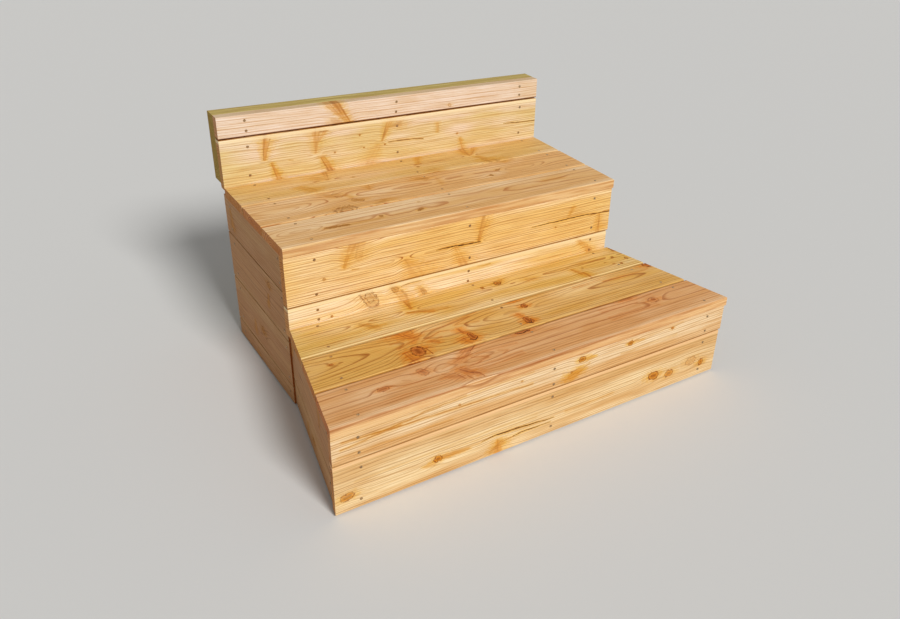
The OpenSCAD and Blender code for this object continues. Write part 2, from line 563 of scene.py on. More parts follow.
@dataclass(frozen=True)
class Board:
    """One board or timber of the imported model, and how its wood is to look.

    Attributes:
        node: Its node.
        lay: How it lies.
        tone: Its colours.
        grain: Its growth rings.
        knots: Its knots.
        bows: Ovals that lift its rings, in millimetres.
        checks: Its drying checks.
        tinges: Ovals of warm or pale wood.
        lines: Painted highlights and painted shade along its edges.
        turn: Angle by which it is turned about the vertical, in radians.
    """

    node: str
    lay: Lay
    tone: WoodTone
    grain: Grain
    knots: tuple[Knot, ...] = ()
    bows: tuple[Patch, ...] = ()
    checks: tuple[Check, ...] = ()
    tinges: tuple[Patch, ...] = ()
    lines: tuple[EdgeLine, ...] = ()
    turn: float = 0.0


@dataclass(frozen=True)
class ScrewRow:
    """Screws through the face of one board.

    Attributes:
        node: The board.
        lay: How it lies.
        along: Places along the board, one for each row.
        across: Places across the board, for every row.
        slant: How far along a row's last screw stands from its first, away from the board's middle.
        turn: Angle by which the board is turned about the vertical, in radians.
    """

    node: str
    lay: Lay
    along: tuple[float, ...]
    across: tuple[float, ...]
    slant: float = 0.0
    turn: float = 0.0


class WoodShop:
    """Makes the finishes of boards and timbers from shared groups of nodes."""

    def __init__(self) -> None:
        """Builds the groups that every board's finish uses."""
        self.knot_fields = {fan: self._make_knot_field(fan) for fan in (False, True)}
        self.oval_field = self._make_oval_field()
        self.check_field = self._make_check_field()
        self.rings = self._make_rings()
        self.paint = self._make_paint()

    @staticmethod
    def _distance(reads: dict[str, Wire]) -> tuple[Wire, Wire]:
        """Measures how far a place lies from a line that widens along its way.

        Args:
            reads: A group's inputs: Place, and the line's Start, End, Thin and Thick.

        Returns:
            The offset from the line, and the line's half width there.
        """
        from_start = reads["Place"] * FACE_ONLY - reads["Start"]
        span = reads["End"] - reads["Start"]
        share = (from_start.dot(span) / span.dot(span).at_least(1e-9)).clamped()
        offset = from_start - span * share
        return offset, reads["Thin"] + (reads["Thick"] - reads["Thin"]) * share

    @staticmethod
    def _hand_on(wiring: Wiring, place: Wire, mask: Wire) -> Wire:
        """Makes the next field wait for this one, so that a long row of fields needs little memory.

        Args:
            wiring: The tree that takes the nodes.
            place: The place on the board.
            mask: A mask of this field, which is never less than zero.

        Returns:
            The same place.
        """
        return place + wiring.join(wiring.math("MINIMUM", mask, 0.0), 0.0, 0.0)

    def _make_knot_field(self, fan: bool) -> bpy.types.NodeTree:
        """Makes a group that adds one knot to the ring lift and to the paint masks.

        Args:
            fan: Whether the knot's lines fan out along it, or run round it.

        Returns:
            The group.
        """
        masks = "Lift, Core, Rim, Glow, Inner"
        shares = "Core Share, Rim Share, Glow Share, Lift Height"
        wiring, reads = new_group(
            "fanned_knot" if fan else "round_knot",
            {"Vector": "Place, Start, End", "Float": f"Ragged, Patch, Thin, Thick, {shares}, {masks}"},
            {"Vector": "Place", "Float": masks},
        )
        place, start, thick = reads["Place"], reads["Start"], reads["Thick"]
        offset, width = self._distance(reads)
        clean = offset.length() / width
        edge = clean + reads["Ragged"]
        reach = (offset * HALO_SHAPE).length() / width
        lift = reach.fade(0.1, 3.0, 1.0, 0.0) * reads["Lift Height"]
        filled = within = edge.fade(0.6, 1.2, 1.0, 0.0)
        inner = reads["Inner"]
        if fan:
            onto = wiring.vector("NORMALIZE", reads["End"] - start)
            aside = wiring.vector("CROSS_PRODUCT", offset, onto).split()[2] / width * FAN_LINES
            onward = wiring.vector("DISTANCE", place, start) * FAN_DRIFT
            lines = wiring.noise(wiring.join(aside, onward, thick * FAN_SEED), 0.6)
            rim = within * lines.fade(0.48, 0.72)
            filled = within * lines.fade(0.22, 0.52)
        else:
            rim = edge.fade(0.74, 0.94) * reads["Patch"] * edge.fade(1.04, 1.24, 1.0, 0.0)
            year = (edge * (thick * KNOT_RINGS)).fraction()
            ring = year.fade(0.3, 0.75, 0.0, 0.5) * edge.fade(0.5, 0.8, 1.0, 0.0)
            inner = ring.at_least(inner).at_least(clean.fade(0.1, 0.7, 0.75, 0.0))
        rim = rim * reads["Rim Share"]
        core = filled * reads["Core Share"]
        glow = (reach + reads["Ragged"] * 1.4).fade(0.4, 1.9, 1.0, 0.0) * reads["Glow Share"]
        return wiring.leave({
            "Place": self._hand_on(wiring, place, core), "Lift": reads["Lift"] + lift,
            "Core": reads["Core"].at_least(core), "Rim": reads["Rim"].at_least(rim),
            "Glow": reads["Glow"].at_least(glow), "Inner": inner,
        })

    def _make_oval_field(self) -> bpy.types.NodeTree:
        """Makes the group that adds a soft oval to a number, such as the rings' lift or the warmth.

        Returns:
            The group.
        """
        wiring, reads = new_group(
            "oval_field", {"Vector": "Place, Middle, Shrink", "Float": "Height, Sum"},
            {"Vector": "Place", "Float": "Sum"},
        )
        reach = ((reads["Place"] - reads["Middle"]) * reads["Shrink"]).length()
        soft = reach.fade(0.0, 1.0, 1.0, 0.0)
        total = reads["Sum"] + soft * reads["Height"]
        return wiring.leave({"Sum": total, "Place": self._hand_on(wiring, reads["Place"], soft)})

    def _make_check_field(self) -> bpy.types.NodeTree:
        """Makes the group that adds one stretch of a drying check to the masks of splits and stain.

        Returns:
            The group.
        """
        wiring, reads = new_group(
            "check_field",
            {"Vector": "Place, Start, End", "Float": "Thin, Thick, Depth, Open, Split, Stain"},
            {"Vector": "Place", "Float": "Split, Stain"},
        )
        offset, width = self._distance(reads)
        distance = offset.length() / width
        opening = (distance / reads["Open"]).fade(0.5, 1.5, 1.0, 0.0) * reads["Depth"]
        stain = distance.fade(0.5, 5.0, 0.8, 0.0) * reads["Depth"]
        return wiring.leave({
            "Place": self._hand_on(wiring, reads["Place"], stain),
            "Split": reads["Split"].at_least(opening), "Stain": reads["Stain"].at_least(stain),
        })

    @staticmethod
    def _make_rings() -> bpy.types.NodeTree:
        """Makes the group that cuts a board out of a log: growth rings, heartwood and fibres.

        Returns:
            The group.
        """
        wiring, reads = new_group(
            "log_rings",
            {"Vector": "Place, Pith, Seed",
             "Float": "Rise, Sweep, Ring, Wander, Heart, Contrast, Lift, Warm, End",
             "Color": "Sapwood, Heartwood, Latewood, End Tint"},
            {"Color": "Color", "Float": "Height, Late, Streak"},
        )
        seeded = reads["Place"] + reads["Seed"]
        shift = wiring.noise(seeded * SLOW_BEND, 1.5, output="Color") - GREY
        shift = shift * (reads["Wander"] * 2.0)
        shift = shift + (wiring.noise(seeded * RIPPLE, output="Color") - GREY) * RIPPLE_BEND
        along, across, deep = (reads["Place"] - reads["Pith"]).split()
        across = across - along * reads["Sweep"]
        deep = deep - along * reads["Rise"]
        cut = (wiring.join(0.0, across, deep) + shift) * ACROSS_LOG
        radius = cut.length() + reads["Lift"]

        year = radius / reads["Ring"]
        year = year + wiring.noise(wiring.join(year * 0.3, reads["Heart"], 0.0), 1.0) * 2.4
        season = year.fraction()
        late = season.fade(0.62, 0.9) * season.fade(0.94, 1.0, 1.0, 0.0)
        whole = {"W": wiring.math("FLOOR", year)}
        weather = wiring.get("ShaderNodeTexWhiteNoise", "Value", whole, noise_dimensions="1D")
        late = late * weather.fade(0.2, 0.9, 0.45, 1.0)
        band = wiring.noise(wiring.join(along * 0.8, year * 0.42, reads["Ring"])).fade(0.35, 0.68)

        fibre = wiring.noise(seeded * FIBRE, 2.0, 0.6)
        streak = wiring.noise(seeded * STREAK, 3.0, 0.6)
        thread = wiring.noise(seeded * THREAD, 1.0)
        cloud = wiring.noise(seeded * CLOUD)
        pore = wiring.noise(seeded * PORE, 0.0).fade(0.66, 0.8)

        heart = reads["Heart"]
        hearted = (radius + streak * HEART_FRAY).fade(heart, heart + HEART_FADE, 1.0, 0.0)
        warm = (hearted * 0.75).at_least(band * 0.4) + cloud.fade(0.3, 0.7, -0.2, 0.3)
        colour = wiring.blend((warm + reads["Warm"]).clamped(), reads["Sapwood"], reads["Heartwood"])
        dark = late + streak.fade(0.52, 0.7, 0.0, FAINT_LINE) + thread.fade(0.5, 0.68, 0.0, FAINT_LINE)
        contrast = reads["Contrast"] + reads["End"] * 0.3
        colour = wiring.blend((dark * contrast).clamped(), colour, reads["Latewood"])
        shade = fibre.fade(0.3, 0.7, 0.92, 1.07) + streak.fade(0.3, 0.7, 0.03, -0.03)
        shade = shade + thread.fade(0.34, 0.66, 0.09, -0.09) - pore * 0.12
        shade = shade + 0.02 - dark * contrast * FAINT_LINE
        red, blue = (wiring.math("POWER", shade, power) for power in (RED_POWER, BLUE_POWER))
        colour = colour * wiring.join(red, shade, blue)
        sawn = wiring.blend(1.0, colour, reads["End Tint"], "MULTIPLY")
        return wiring.leave({
            "Color": wiring.blend(reads["End"], colour, sawn), "Height": late + fibre - pore,
            "Late": late, "Streak": streak,
        })

    @staticmethod
    def _make_paint() -> bpy.types.NodeTree:
        """Makes the group that colours knots, the warm wood round them, and drying checks.

        Returns:
            The group.
        """
        wiring, reads = new_group(
            "knot_paint",
            {"Float": "Core, Rim, Glow, Inner, Streak, Split, Stain",
             "Color": "Color, Knot, Rim Tint, Glow Tint, Check Tint"},
            {"Color": "Color"},
        )
        knot, rim, split = reads["Knot"], reads["Rim Tint"], reads["Split"]
        warmed = wiring.blend(1.0, reads["Color"], reads["Glow Tint"], "MULTIPLY")
        patchy = (reads["Glow"] * reads["Streak"].fade(0.25, 0.65, 0.45, 1.0)).at_least(reads["Stain"])
        colour = wiring.blend(patchy, reads["Color"], warmed)
        colour = wiring.blend(reads["Core"], colour, wiring.blend(reads["Inner"], knot, rim))
        colour = wiring.blend(reads["Rim"], colour, rim)
        colour = wiring.blend(split.fade(0.0, 0.9, 0.0, 0.85), colour, wiring.blend(0.5, knot, rim))
        return wiring.leave({"Color": wiring.blend(split.fade(0.62, 0.96), colour, reads["Check Tint"])})

    def _knot_masks(self, wiring: Wiring, board: Board, place: Wire, seed: Vector) -> dict[str, object]:
        """Adds a board's knots and bows.

        Args:
            wiring: The finish's tree.
            board: The board.
            place: The place on the board.
            seed: The offset of the board's noise.

        Returns:
            How far the rings are lifted, and the masks for the paint, by name.
        """
        moved = place + seed
        shared = {
            "Ragged": wiring.noise(moved * RAGGED, 3.0, 0.65).fade(0.2, 0.8, -0.35, 0.35),
            "Patch": wiring.noise(moved * PATCHY).fade(0.36, 0.6, 0.5, 1.0),
        }
        lift = self._ovals(wiring, place, board.bows, MM)
        state = {"Place": place, "Lift": lift, "Core": 0.0, "Rim": 0.0, "Glow": 0.0, "Inner": 0.0}
        for knot in board.knots:
            look = knot.kind.value
            state = wiring.group(self.knot_fields[look.fan], {
                **shared, "Start": on_face(knot.along, knot.across),
                "End": on_face(knot.end_along, knot.end_across), "Thin": knot.thin * MM,
                "Thick": knot.thick * MM, "Lift Height": look.lift * knot.thick * MM,
                "Core Share": look.core * knot.strength, "Rim Share": look.rim * knot.strength,
                "Glow Share": look.glow * knot.strength, **state,
            })
        return state

    def _ovals(self, wiring: Wiring, place: Wire, ovals: tuple[Patch, ...], unit: float = 1.0) -> object:
        """Adds up soft ovals on a board.

        Args:
            wiring: The finish's tree.
            place: The place on the board.
            ovals: The ovals.
            unit: What a height of 1 stands for.

        Returns:
            The sum, as a wire or as a plain zero.
        """
        state: dict[str, object] = {"Sum": 0.0, "Place": place}
        for item in ovals:
            state = wiring.group(self.oval_field, {
                "Middle": on_face(item.along, item.across), "Height": item.height * unit,
                "Shrink": (1.0 / (item.reach_along * MM), 1.0 / (item.reach_across * MM), 0.0), **state,
            })
        return state["Sum"]

    def _check_masks(self, wiring: Wiring, board: Board, place: Wire) -> dict[str, object]:
        """Adds a board's drying checks, which waver along the grain.

        Args:
            wiring: The finish's tree.
            board: The board.
            place: The place on the board.

        Returns:
            The masks of the open splits and of the stain along them, by name.
        """
        state: dict[str, object] = {"Split": 0.0, "Stain": 0.0}
        if not board.checks:
            return state
        shift = wiring.noise(place * WAVER, 3.0, output="Color") - GREY
        state["Place"] = place + shift * CHECK_WAVER
        opening = wiring.noise(place * OPENING).fade(0.3, 0.6, 0.55, 1.1)
        for check in board.checks:
            for (*start, thin), (*end, thick) in pairwise(check.points):
                state = wiring.group(self.check_field, {
                    "Start": on_face(*start), "End": on_face(*end), "Thin": thin * MM,
                    "Thick": thick * MM, "Depth": check.depth, "Open": opening, **state,
                })
        return state

    def finish(self, board: Board, number: int) -> bpy.types.Material:
        """Makes the finish of one board.

        Args:
            board: The board and its wood.
            number: The board's number, which makes its noise its own.

        Returns:
            The board's material.
        """
        material, wiring = new_material(f"{board.node}_wood")
        along, across, inward = board.lay.axes(board.turn)
        turn = Matrix((along, across, inward))
        place = wiring.get("ShaderNodeMapping", "Vector", {
            "Vector": wiring.get("ShaderNodeTexCoord", "Object"), "Rotation": turn.to_euler("XYZ"),
            "Location": -(turn @ board.lay.origin(board.node)),
        }, vector_type="POINT")
        seed = SEED_STEP * number
        knots = self._knot_masks(wiring, board, place, seed)
        splits = self._check_masks(wiring, board, place)
        warm = self._ovals(wiring, place, board.tinges)
        normal = wiring.get("ShaderNodeNewGeometry", "True Normal")
        facing = wiring.math("ABSOLUTE", normal.dot(along))
        grain, tone = board.grain, board.tone
        rings = wiring.group(self.rings, {
            "Place": place, "Pith": (0.0, grain.pith_across * MM, grain.pith_depth * MM),
            "Rise": grain.rise * MM, "Sweep": grain.sweep * MM, "Ring": grain.ring * MM,
            "Wander": grain.wander * MM, "Heart": grain.heart * MM, "Contrast": grain.contrast,
            "Seed": seed, "Lift": knots["Lift"], "Warm": warm, "Sapwood": tone.sap,
            "Heartwood": tone.heart, "Latewood": tone.late, "End": facing.fade(*END_ON),
            "End Tint": tone.end_grain,
        })
        masks = {name: knots[name] for name in ("Core", "Rim", "Glow", "Inner")}
        painted = wiring.group(self.paint, {
            **masks, "Split": splits["Split"], "Stain": splits["Stain"], "Color": rings["Color"],
            "Streak": rings["Streak"], "Knot": tone.knot, "Rim Tint": tone.rim, "Glow Tint": tone.glow,
            "Check Tint": tone.check,
        })["Color"]

        side_on = wiring.math("ABSOLUTE", normal.dot(across))
        edged = wiring.blend(1.0, painted, tone.edge, "MULTIPLY")
        edged = wiring.blend(rings["Streak"].fade(0.5, 0.6, 0.0, tone.edge_lines), edged, tone.late)
        # Pale streaks on the narrow sides, in the same tint as the painted highlight.
        edged = wiring.blend(rings["Streak"].fade(0.48, 0.38, 0.0, 0.2), edged, tone.highlight_and_pale_streak)
        colour = wiring.blend(side_on.fade(*SIDE_ON), painted, edged)
        low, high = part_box(board.node)
        # Painted light along the edges: a highlight in the pale tint on rounded edges, and painted shade in
        # the rim colour beside the gaps.
        for line in board.lines:
            inset = place.split()[1]
            if line.far:
                inset = wiring.math("SUBTRACT", abs((high - low).dot(across)), inset)
            share = inset.fade(line.full * MM, line.gone * MM, line.strength, 0.0)
            if line.pale:
                share = share * side_on.fade(*SIDE_ON, 1.0, 0.0)
            colour = wiring.blend(share, colour, tone.highlight_and_pale_streak if line.pale else tone.rim)
        relief = rings["Height"] - wiring.math("MULTIPLY", splits["Split"], 4.0)
        wiring.surface({
            "Base Color": colour, "Roughness": wiring.math("SUBTRACT", tone.roughness, rings["Late"] * 0.1),
            "Specular IOR Level": MATT_SPECULAR,
            "Normal": wiring.bump(relief, *WOOD_RELIEF),
        })
        return material

    def dress(self, board: Board, number: int) -> None:
        """Puts a board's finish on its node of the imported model.

        Args:
            board: The board and its wood.
            number: The board's number.
        """
        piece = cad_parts[board.node]
        piece.data.materials.clear()
        piece.data.materials.append(self.finish(board, number))
        log.info("dressed %s", board.node)


@dataclass(frozen=True)
class SteelFinish:
    """Dull steel of a screw that has been driven: worn brighter in patches.

    Attributes:
        dark: The colour of the dull film.
        bright: The colour where the driver has rubbed.
        roughness_low: Roughness where it is rubbed.
        roughness_high: Roughness of the film.
        fineness: How fine the patches are, per metre.
    """

    dark: Colour = tint(150, 118, 82)
    bright: Colour = tint(214, 188, 150)
    roughness_low: float = 0.3
    roughness_high: float = 0.55
    fineness: float = 600.0

    def material(self) -> bpy.types.Material:
        """Makes the steel.

        Returns:
            The material.
        """
        material, wiring = new_material("screw_steel")
        place = wiring.get("ShaderNodeTexCoord", "Object")
        rubbed = wiring.noise(place * self.fineness, 3.0).fade(0.4, 0.65)
        wiring.surface({
            "Base Color": wiring.blend(rubbed, self.dark, self.bright), "Metallic": 1.0,
            "Roughness": rubbed.fade(0.0, 1.0, self.roughness_high, self.roughness_low),
            "Normal": wiring.bump(rubbed, *STEEL_RELIEF),
        })
        return material


@dataclass
class ScrewDriver:
    """Drives countersunk deck screws with a six-lobed recess, one piece for each sub-assembly.

    Attributes:
        head_radius: Radius of the head.
        shank_radius: Radius of the shank at the foot of the head.
        proud: How far the head's top stands over the wood.
        sunk: How far the head's foot lies under the wood.
        lobe_outer: Outer radius of the recess.
        lobe_inner: Inner radius of the recess.
        recess_floor: Height of the recess's floor over the wood, in shares of proud.
        sides: Corners of the head's outline.
        lobes: Points of the recess.
        drift: How far a screw may sit off its mark.
        seed: Seed of the drift and of the heads' turns.
    """

    head_radius: float = 3.9 * MM
    shank_radius: float = 2.4 * MM
    proud: float = 0.7 * MM
    sunk: float = 2.0 * MM
    lobe_outer: float = 2.2 * MM
    lobe_inner: float = 1.5 * MM
    recess_floor: float = 0.15
    sides: int = 24
    lobes: int = 6
    drift: float = 2.5
    seed: int = 7

    def __post_init__(self) -> None:
        """Makes the steel and the tree that sets the heads."""
        self.steel = SteelFinish().material()
        self.tree = self._make_tree()
        self.luck = random.Random(self.seed)

    def _make_tree(self) -> bpy.types.NodeTree:
        """Makes the tree that sets a screw head on every mark, turned at random about its axis.

        Returns:
            The tree, with its sizes as named inputs.
        """
        sizes = {
            "Head Radius": self.head_radius, "Shank Radius": self.shank_radius, "Proud": self.proud,
            "Sunk": self.sunk, "Lobe Outer": self.lobe_outer, "Lobe Inner": self.lobe_inner,
        }
        wiring, entry = new_group(
            "screw_heads",
            {"Geometry": "Geometry", "Float": ", ".join(sizes), "Int": "Seed", "Material": "Steel"},
            {"Geometry": "Geometry"}, "Geometry",
        )
        for item in wiring.tree.interface.items_tree:
            if item.name in sizes:
                item.default_value = sizes[item.name]
        proud, sunk = entry["Proud"], entry["Sunk"]

        head = wiring.get("GeometryNodeMeshCone", "Mesh", {
            "Vertices": self.sides, "Radius Top": entry["Head Radius"], "Depth": proud + sunk,
            "Radius Bottom": entry["Shank Radius"],
        }, fill_type="NGON")
        head = self._raised(wiring, head, sunk * -1.0)
        star = wiring.get("GeometryNodeCurveStar", "Curve", {
            "Points": self.lobes, "Inner Radius": entry["Lobe Inner"], "Outer Radius": entry["Lobe Outer"],
        })
        filled = wiring.get("GeometryNodeFillCurve", "Mesh", {"Curve": star}, mode="NGONS")
        walls = {"Mesh": filled, "Offset": (0.0, 0.0, 1.0), "Offset Scale": proud * 2.0}
        closed = wiring.add("GeometryNodeJoinGeometry")
        wiring.feed(closed, "Geometry", wiring.get("GeometryNodeExtrudeMesh", "Mesh", walls))
        wiring.feed(closed, "Geometry", wiring.get("GeometryNodeFlipFaces", "Mesh", {"Mesh": filled}))
        merged = wiring.get("GeometryNodeMergeByDistance", "Geometry", {
            "Geometry": Wire(wiring, closed.outputs[0]), "Distance": MERGE_DISTANCE,
        })
        recess = self._raised(wiring, merged, proud * self.recess_floor)
        parts = {"Mesh 1": head, "Mesh 2": recess}
        head = wiring.get("GeometryNodeMeshBoolean", "Mesh", parts, operation="DIFFERENCE")

        aim = wiring.get(
            "GeometryNodeInputNamedAttribute", "Attribute", {"Name": "aim"}, data_type="FLOAT_VECTOR",
        )
        stand = wiring.get("FunctionNodeAlignRotationToVector", "Rotation", {"Vector": aim}, axis="Z")
        spin = {"Max": math.tau, "Seed": entry["Seed"]}
        angle = wiring.get("FunctionNodeRandomValue", "Value", spin, data_type="FLOAT")
        both = wiring.get("FunctionNodeRotateRotation", "Rotation", {
            "Rotation": stand,
            "Rotate By": wiring.get("FunctionNodeAxisAngleToRotation", "Rotation", {"Angle": angle}),
        }, rotation_space="LOCAL")
        placed = wiring.get("GeometryNodeInstanceOnPoints", "Instances", {
            "Points": entry["Geometry"], "Instance": head, "Rotation": both,
        })
        realized = wiring.get("GeometryNodeRealizeInstances", "Geometry", {"Geometry": placed})
        return wiring.leave({"Geometry": wiring.get("GeometryNodeSetMaterial", "Geometry", {
            "Geometry": realized, "Material": entry["Steel"],
        })})

    @staticmethod
    def _raised(wiring: Wiring, geometry: Wire, height: Wire) -> Wire:
        """Returns the geometry moved up by a height."""
        values = {"Geometry": geometry, "Translation": wiring.join(0.0, 0.0, height)}
        return wiring.get("GeometryNodeTransform", "Geometry", values)

    def _marks(self, rows: tuple[ScrewRow, ...]) -> tuple[list[Vector], list[Vector]]:
        """Marks out the screws.

        Args:
            rows: The rows of screws.

        Returns:
            The place of each screw on the face of its board, and the direction that the head faces.
        """
        places: list[Vector] = []
        aims: list[Vector] = []
        for row in rows:
            along, across, inward = row.lay.axes(row.turn)
            origin = row.lay.origin(row.node)
            for station in row.along:
                for count, edge in enumerate(row.across):
                    lean = math.copysign(row.slant, station) * count / max(1, len(row.across) - 1)
                    first = station + lean + self.luck.uniform(-self.drift, self.drift)
                    second = edge + self.luck.uniform(-self.drift, self.drift)
                    places.append(origin + along * first * MM + across * second * MM)
                    aims.append(-inward)
        return places, aims

    def drive(self, name: str, rows: tuple[ScrewRow, ...]) -> None:
        """Makes the screw heads of one sub-assembly as one plain mesh.

        Args:
            name: The piece's name.
            rows: The rows of screws.
        """
        places, aims = self._marks(rows)
        marks = bpy.data.meshes.new(f"{name}_marks")
        marks.from_pydata(places, [], [])
        aim = marks.attributes.new("aim", "FLOAT_VECTOR", "POINT")
        for point, direction in zip(aim.data, aims):
            point.vector = direction
        holder = add_object(f"{name}_marks", marks)
        modifier = holder.modifiers.new("screw_heads", "NODES")
        modifier.node_group = self.tree
        items = self.tree.interface.items_tree
        sockets = {item.name: item.identifier for item in items if item.in_out == "INPUT"}
        modifier[sockets["Seed"]] = self.seed
        modifier[sockets["Steel"]] = self.steel
        depsgraph = bpy.context.evaluated_depsgraph_get()
        mesh = bpy.data.meshes.new_from_object(holder.evaluated_get(depsgraph), depsgraph=depsgraph)
        bpy.data.objects.remove(holder, do_unlink=True)
        mesh.name = name
        piece = add_object(name, mesh)
        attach(piece, ROOT)
        log.info("%s: %d screws, %d faces", name, len(places), len(mesh.polygons))


# Each tone's highlight tint paints the highlight along the rounded edges of its boards.
ROSE = WoodTone(tint(237, 214, 190), tint(229, 200, 165), tint(192, 136, 78), rim=tint(150, 78, 8))
HONEY = WoodTone(
    tint(239, 214, 182), tint(228, 200, 138), tint(176, 120, 52), highlight_and_pale_streak=tint(250, 230, 182),
    # These darker, warmer narrow sides are partly painted shade: the warm shade seen down the gap above the
    # board.
    edge=tint(232, 192, 132),
)
BUTTER = WoodTone(tint(247, 214, 158), tint(240, 197, 119), tint(164, 82, 4), rim=tint(140, 70, 6))
CREAM = WoodTone(
    tint(246, 222, 178), tint(236, 199, 124), tint(170, 92, 12), highlight_and_pale_streak=tint(252, 230, 176),
    # These darker, warmer narrow sides are partly painted shade: the warm shade seen down the gap above the
    # board.
    edge=tint(236, 200, 140),
)
SAND = WoodTone(tint(240, 204, 150), tint(229, 188, 114), tint(170, 88, 20))
BISCUIT = WoodTone(tint(246, 210, 160), tint(232, 182, 117), tint(176, 86, 16))
GOLD = WoodTone(
    tint(245, 217, 164), tint(230, 187, 100), tint(164, 88, 8), knot=tint(204, 128, 44),
    rim=tint(112, 52, 4),
)
AMBER = WoodTone(
    tint(246, 208, 145), tint(229, 176, 91), tint(152, 66, 0), knot=tint(212, 122, 50),
    rim=tint(112, 38, 4), glow=tint(252, 200, 114), highlight_and_pale_streak=tint(255, 206, 126),
)
SALMON = WoodTone(
    tint(247, 202, 151), tint(228, 168, 106), tint(162, 78, 20), knot=tint(216, 132, 72),
    rim=tint(134, 52, 16), glow=tint(250, 206, 138), edge_lines=0.3,
)
STRAW = WoodTone(
    tint(240, 208, 162), tint(223, 174, 114), tint(156, 90, 30), knot=tint(214, 138, 40),
    rim=tint(138, 64, 4), glow=tint(248, 222, 128),
)
PEACH = WoodTone(
    tint(238, 206, 154), tint(217, 170, 108), tint(150, 84, 20), knot=tint(214, 136, 36),
    rim=tint(138, 64, 4), glow=tint(248, 220, 124), highlight_and_pale_streak=tint(246, 200, 146),
)
# A darker copy of the wood for the left sides: painted shade, as if they faced away from the light.
PAINTED_SHADE_TONE = WoodTone(tint(200, 154, 104), tint(190, 138, 92), tint(138, 84, 42))
TREATED = WoodTone(
    tint(214, 198, 130), tint(204, 180, 114), tint(160, 132, 68), knot=tint(132, 92, 46),
    rim=tint(96, 66, 34), glow=tint(232, 206, 150), end_grain=tint(216, 196, 150), roughness=0.74,
)

# Each side of the stair: how its boards lie, and where they start and end along their own direction.
SIDE_SPANS = (
    ("left", Lay.LEFT_SIDE, (-430.0, -20.0)),
    ("right", Lay.RIGHT_SIDE, (20.0, 430.0)),
)
TREAD_PLACES = ("back", "middle", "front")
COURSES = (1, 2, 3, 4)
# Scattered knots: their half widths and strengths, the share of the board's width where they lie, how
# many are cut lengthwise, and how far such a one drifts along the board and reaches across it.
KNOT_HALVES, KNOT_STRENGTHS, KNOT_ZONE = (4.0, 12.0), (0.6, 1.0), (0.1, 0.9)
SPIKE_ODDS, SPIKE_DRIFT, SPIKE_REACH, SPIKE_THIN = 0.35, 25.0, (35.0, 60.0), 3.0


def flare_angle(right: bool) -> float:
    """Works out the angle by which a side of the lower step turns out, from the treads' ends.

    Args:
        right: Whether it is the right side.

    Returns:
        The angle in radians, counted about the vertical: less than zero on the left.
    """
    corner = 1 if right else 0
    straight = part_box("upper_tread_front")[corner].x
    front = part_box("lower_tread_front")
    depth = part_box("lower_tread_back")[1].y - front[0].y
    return math.atan2(front[corner].x - straight, depth)


def scattered_knots(seed: int, length: Pair, width: float, count: int) -> tuple[Knot, ...]:
    """Scatters knots over a board.

    Args:
        seed: The seed of their places and sizes.
        length: Where the board starts and ends along its own direction, in millimetres.
        width: The board's width.
        count: How many knots.

    Returns:
        The knots.
    """
    luck = random.Random(seed)
    knots = []
    for _ in range(count):
        along, across = luck.uniform(*length), luck.uniform(*KNOT_ZONE) * width
        half, strength = luck.uniform(*KNOT_HALVES), luck.uniform(*KNOT_STRENGTHS)
        if luck.random() < SPIKE_ODDS:
            far = along + luck.uniform(-SPIKE_DRIFT, SPIKE_DRIFT)
            reach = math.copysign(luck.uniform(*SPIKE_REACH), width / 2 - across)
            knots.append(spike(far, across + reach, along, across, SPIKE_THIN, half, strength))
        else:
            knots.append(disc(along, across, half, strength))
    return tuple(knots)


class SubAssembly:
    """A group of boards or timbers that are dressed and screwed together."""

    name = "sub_assembly"

    def boards(self) -> tuple[Board, ...]:
        """Returns the boards with their woods."""
        return ()

    def screw_rows(self) -> tuple[ScrewRow, ...]:
        """Returns the rows of screws."""
        return ()

    def build(self, shop: WoodShop, driver: ScrewDriver) -> None:
        """Dresses the boards and drives the screws.

        Args:
            shop: Makes the wood.
            driver: Makes the screws.
        """
        numbers = {node: number for number, node in enumerate(sorted(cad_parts), start=1)}
        for board in self.boards():
            shop.dress(board, numbers[board.node])
        rows = self.screw_rows()
        if rows:
            driver.drive(f"{self.name}_screws", rows)


@dataclass
class BoxStep(SubAssembly):
    """A closed step with three tread boards, a riser of a board and a strip, and sides.

    Attributes:
        riser_columns: Places of the screws along the riser.
        tread_edges: Places of the screws across a tread board.
        riser_edges: Places of the screws across the riser board.
        strip_edges: Places of the screws across the riser strip.
        side_ends: Places of the screws along a side, from its front end.
        side_clearance: How far a side's screws stay from a board's edges.
        pair_width: Width from which a side's board takes two screws abreast.
    """

    riser_columns: tuple[float, ...] = ()
    tread_edges: tuple[float, ...] = ()
    riser_edges: tuple[float, ...] = ()
    strip_edges: tuple[float, ...] = ()
    side_ends: tuple[float, ...] = ()
    side_clearance: float = 24.0
    pair_width: float = 0.0

    def _side_row(self, node: str, lay: Lay, turn: float = 0.0) -> ScrewRow:
        """Returns the screws at both ends of a side's board.

        Args:
            node: The board.
            lay: How it lies.
            turn: Angle by which it is turned about the vertical, in radians.

        Returns:
            The rows of screws.
        """
        low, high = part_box(node)
        width = (high.z - low.z) / MM
        edges = (self.side_clearance, width - self.side_clearance)
        if width <= self.pair_width:
            edges = (width / 2,)
        sign = -1.0 if lay is Lay.LEFT_SIDE else 1.0
        return ScrewRow(node, lay, tuple(sign * end for end in self.side_ends), edges, turn=turn)


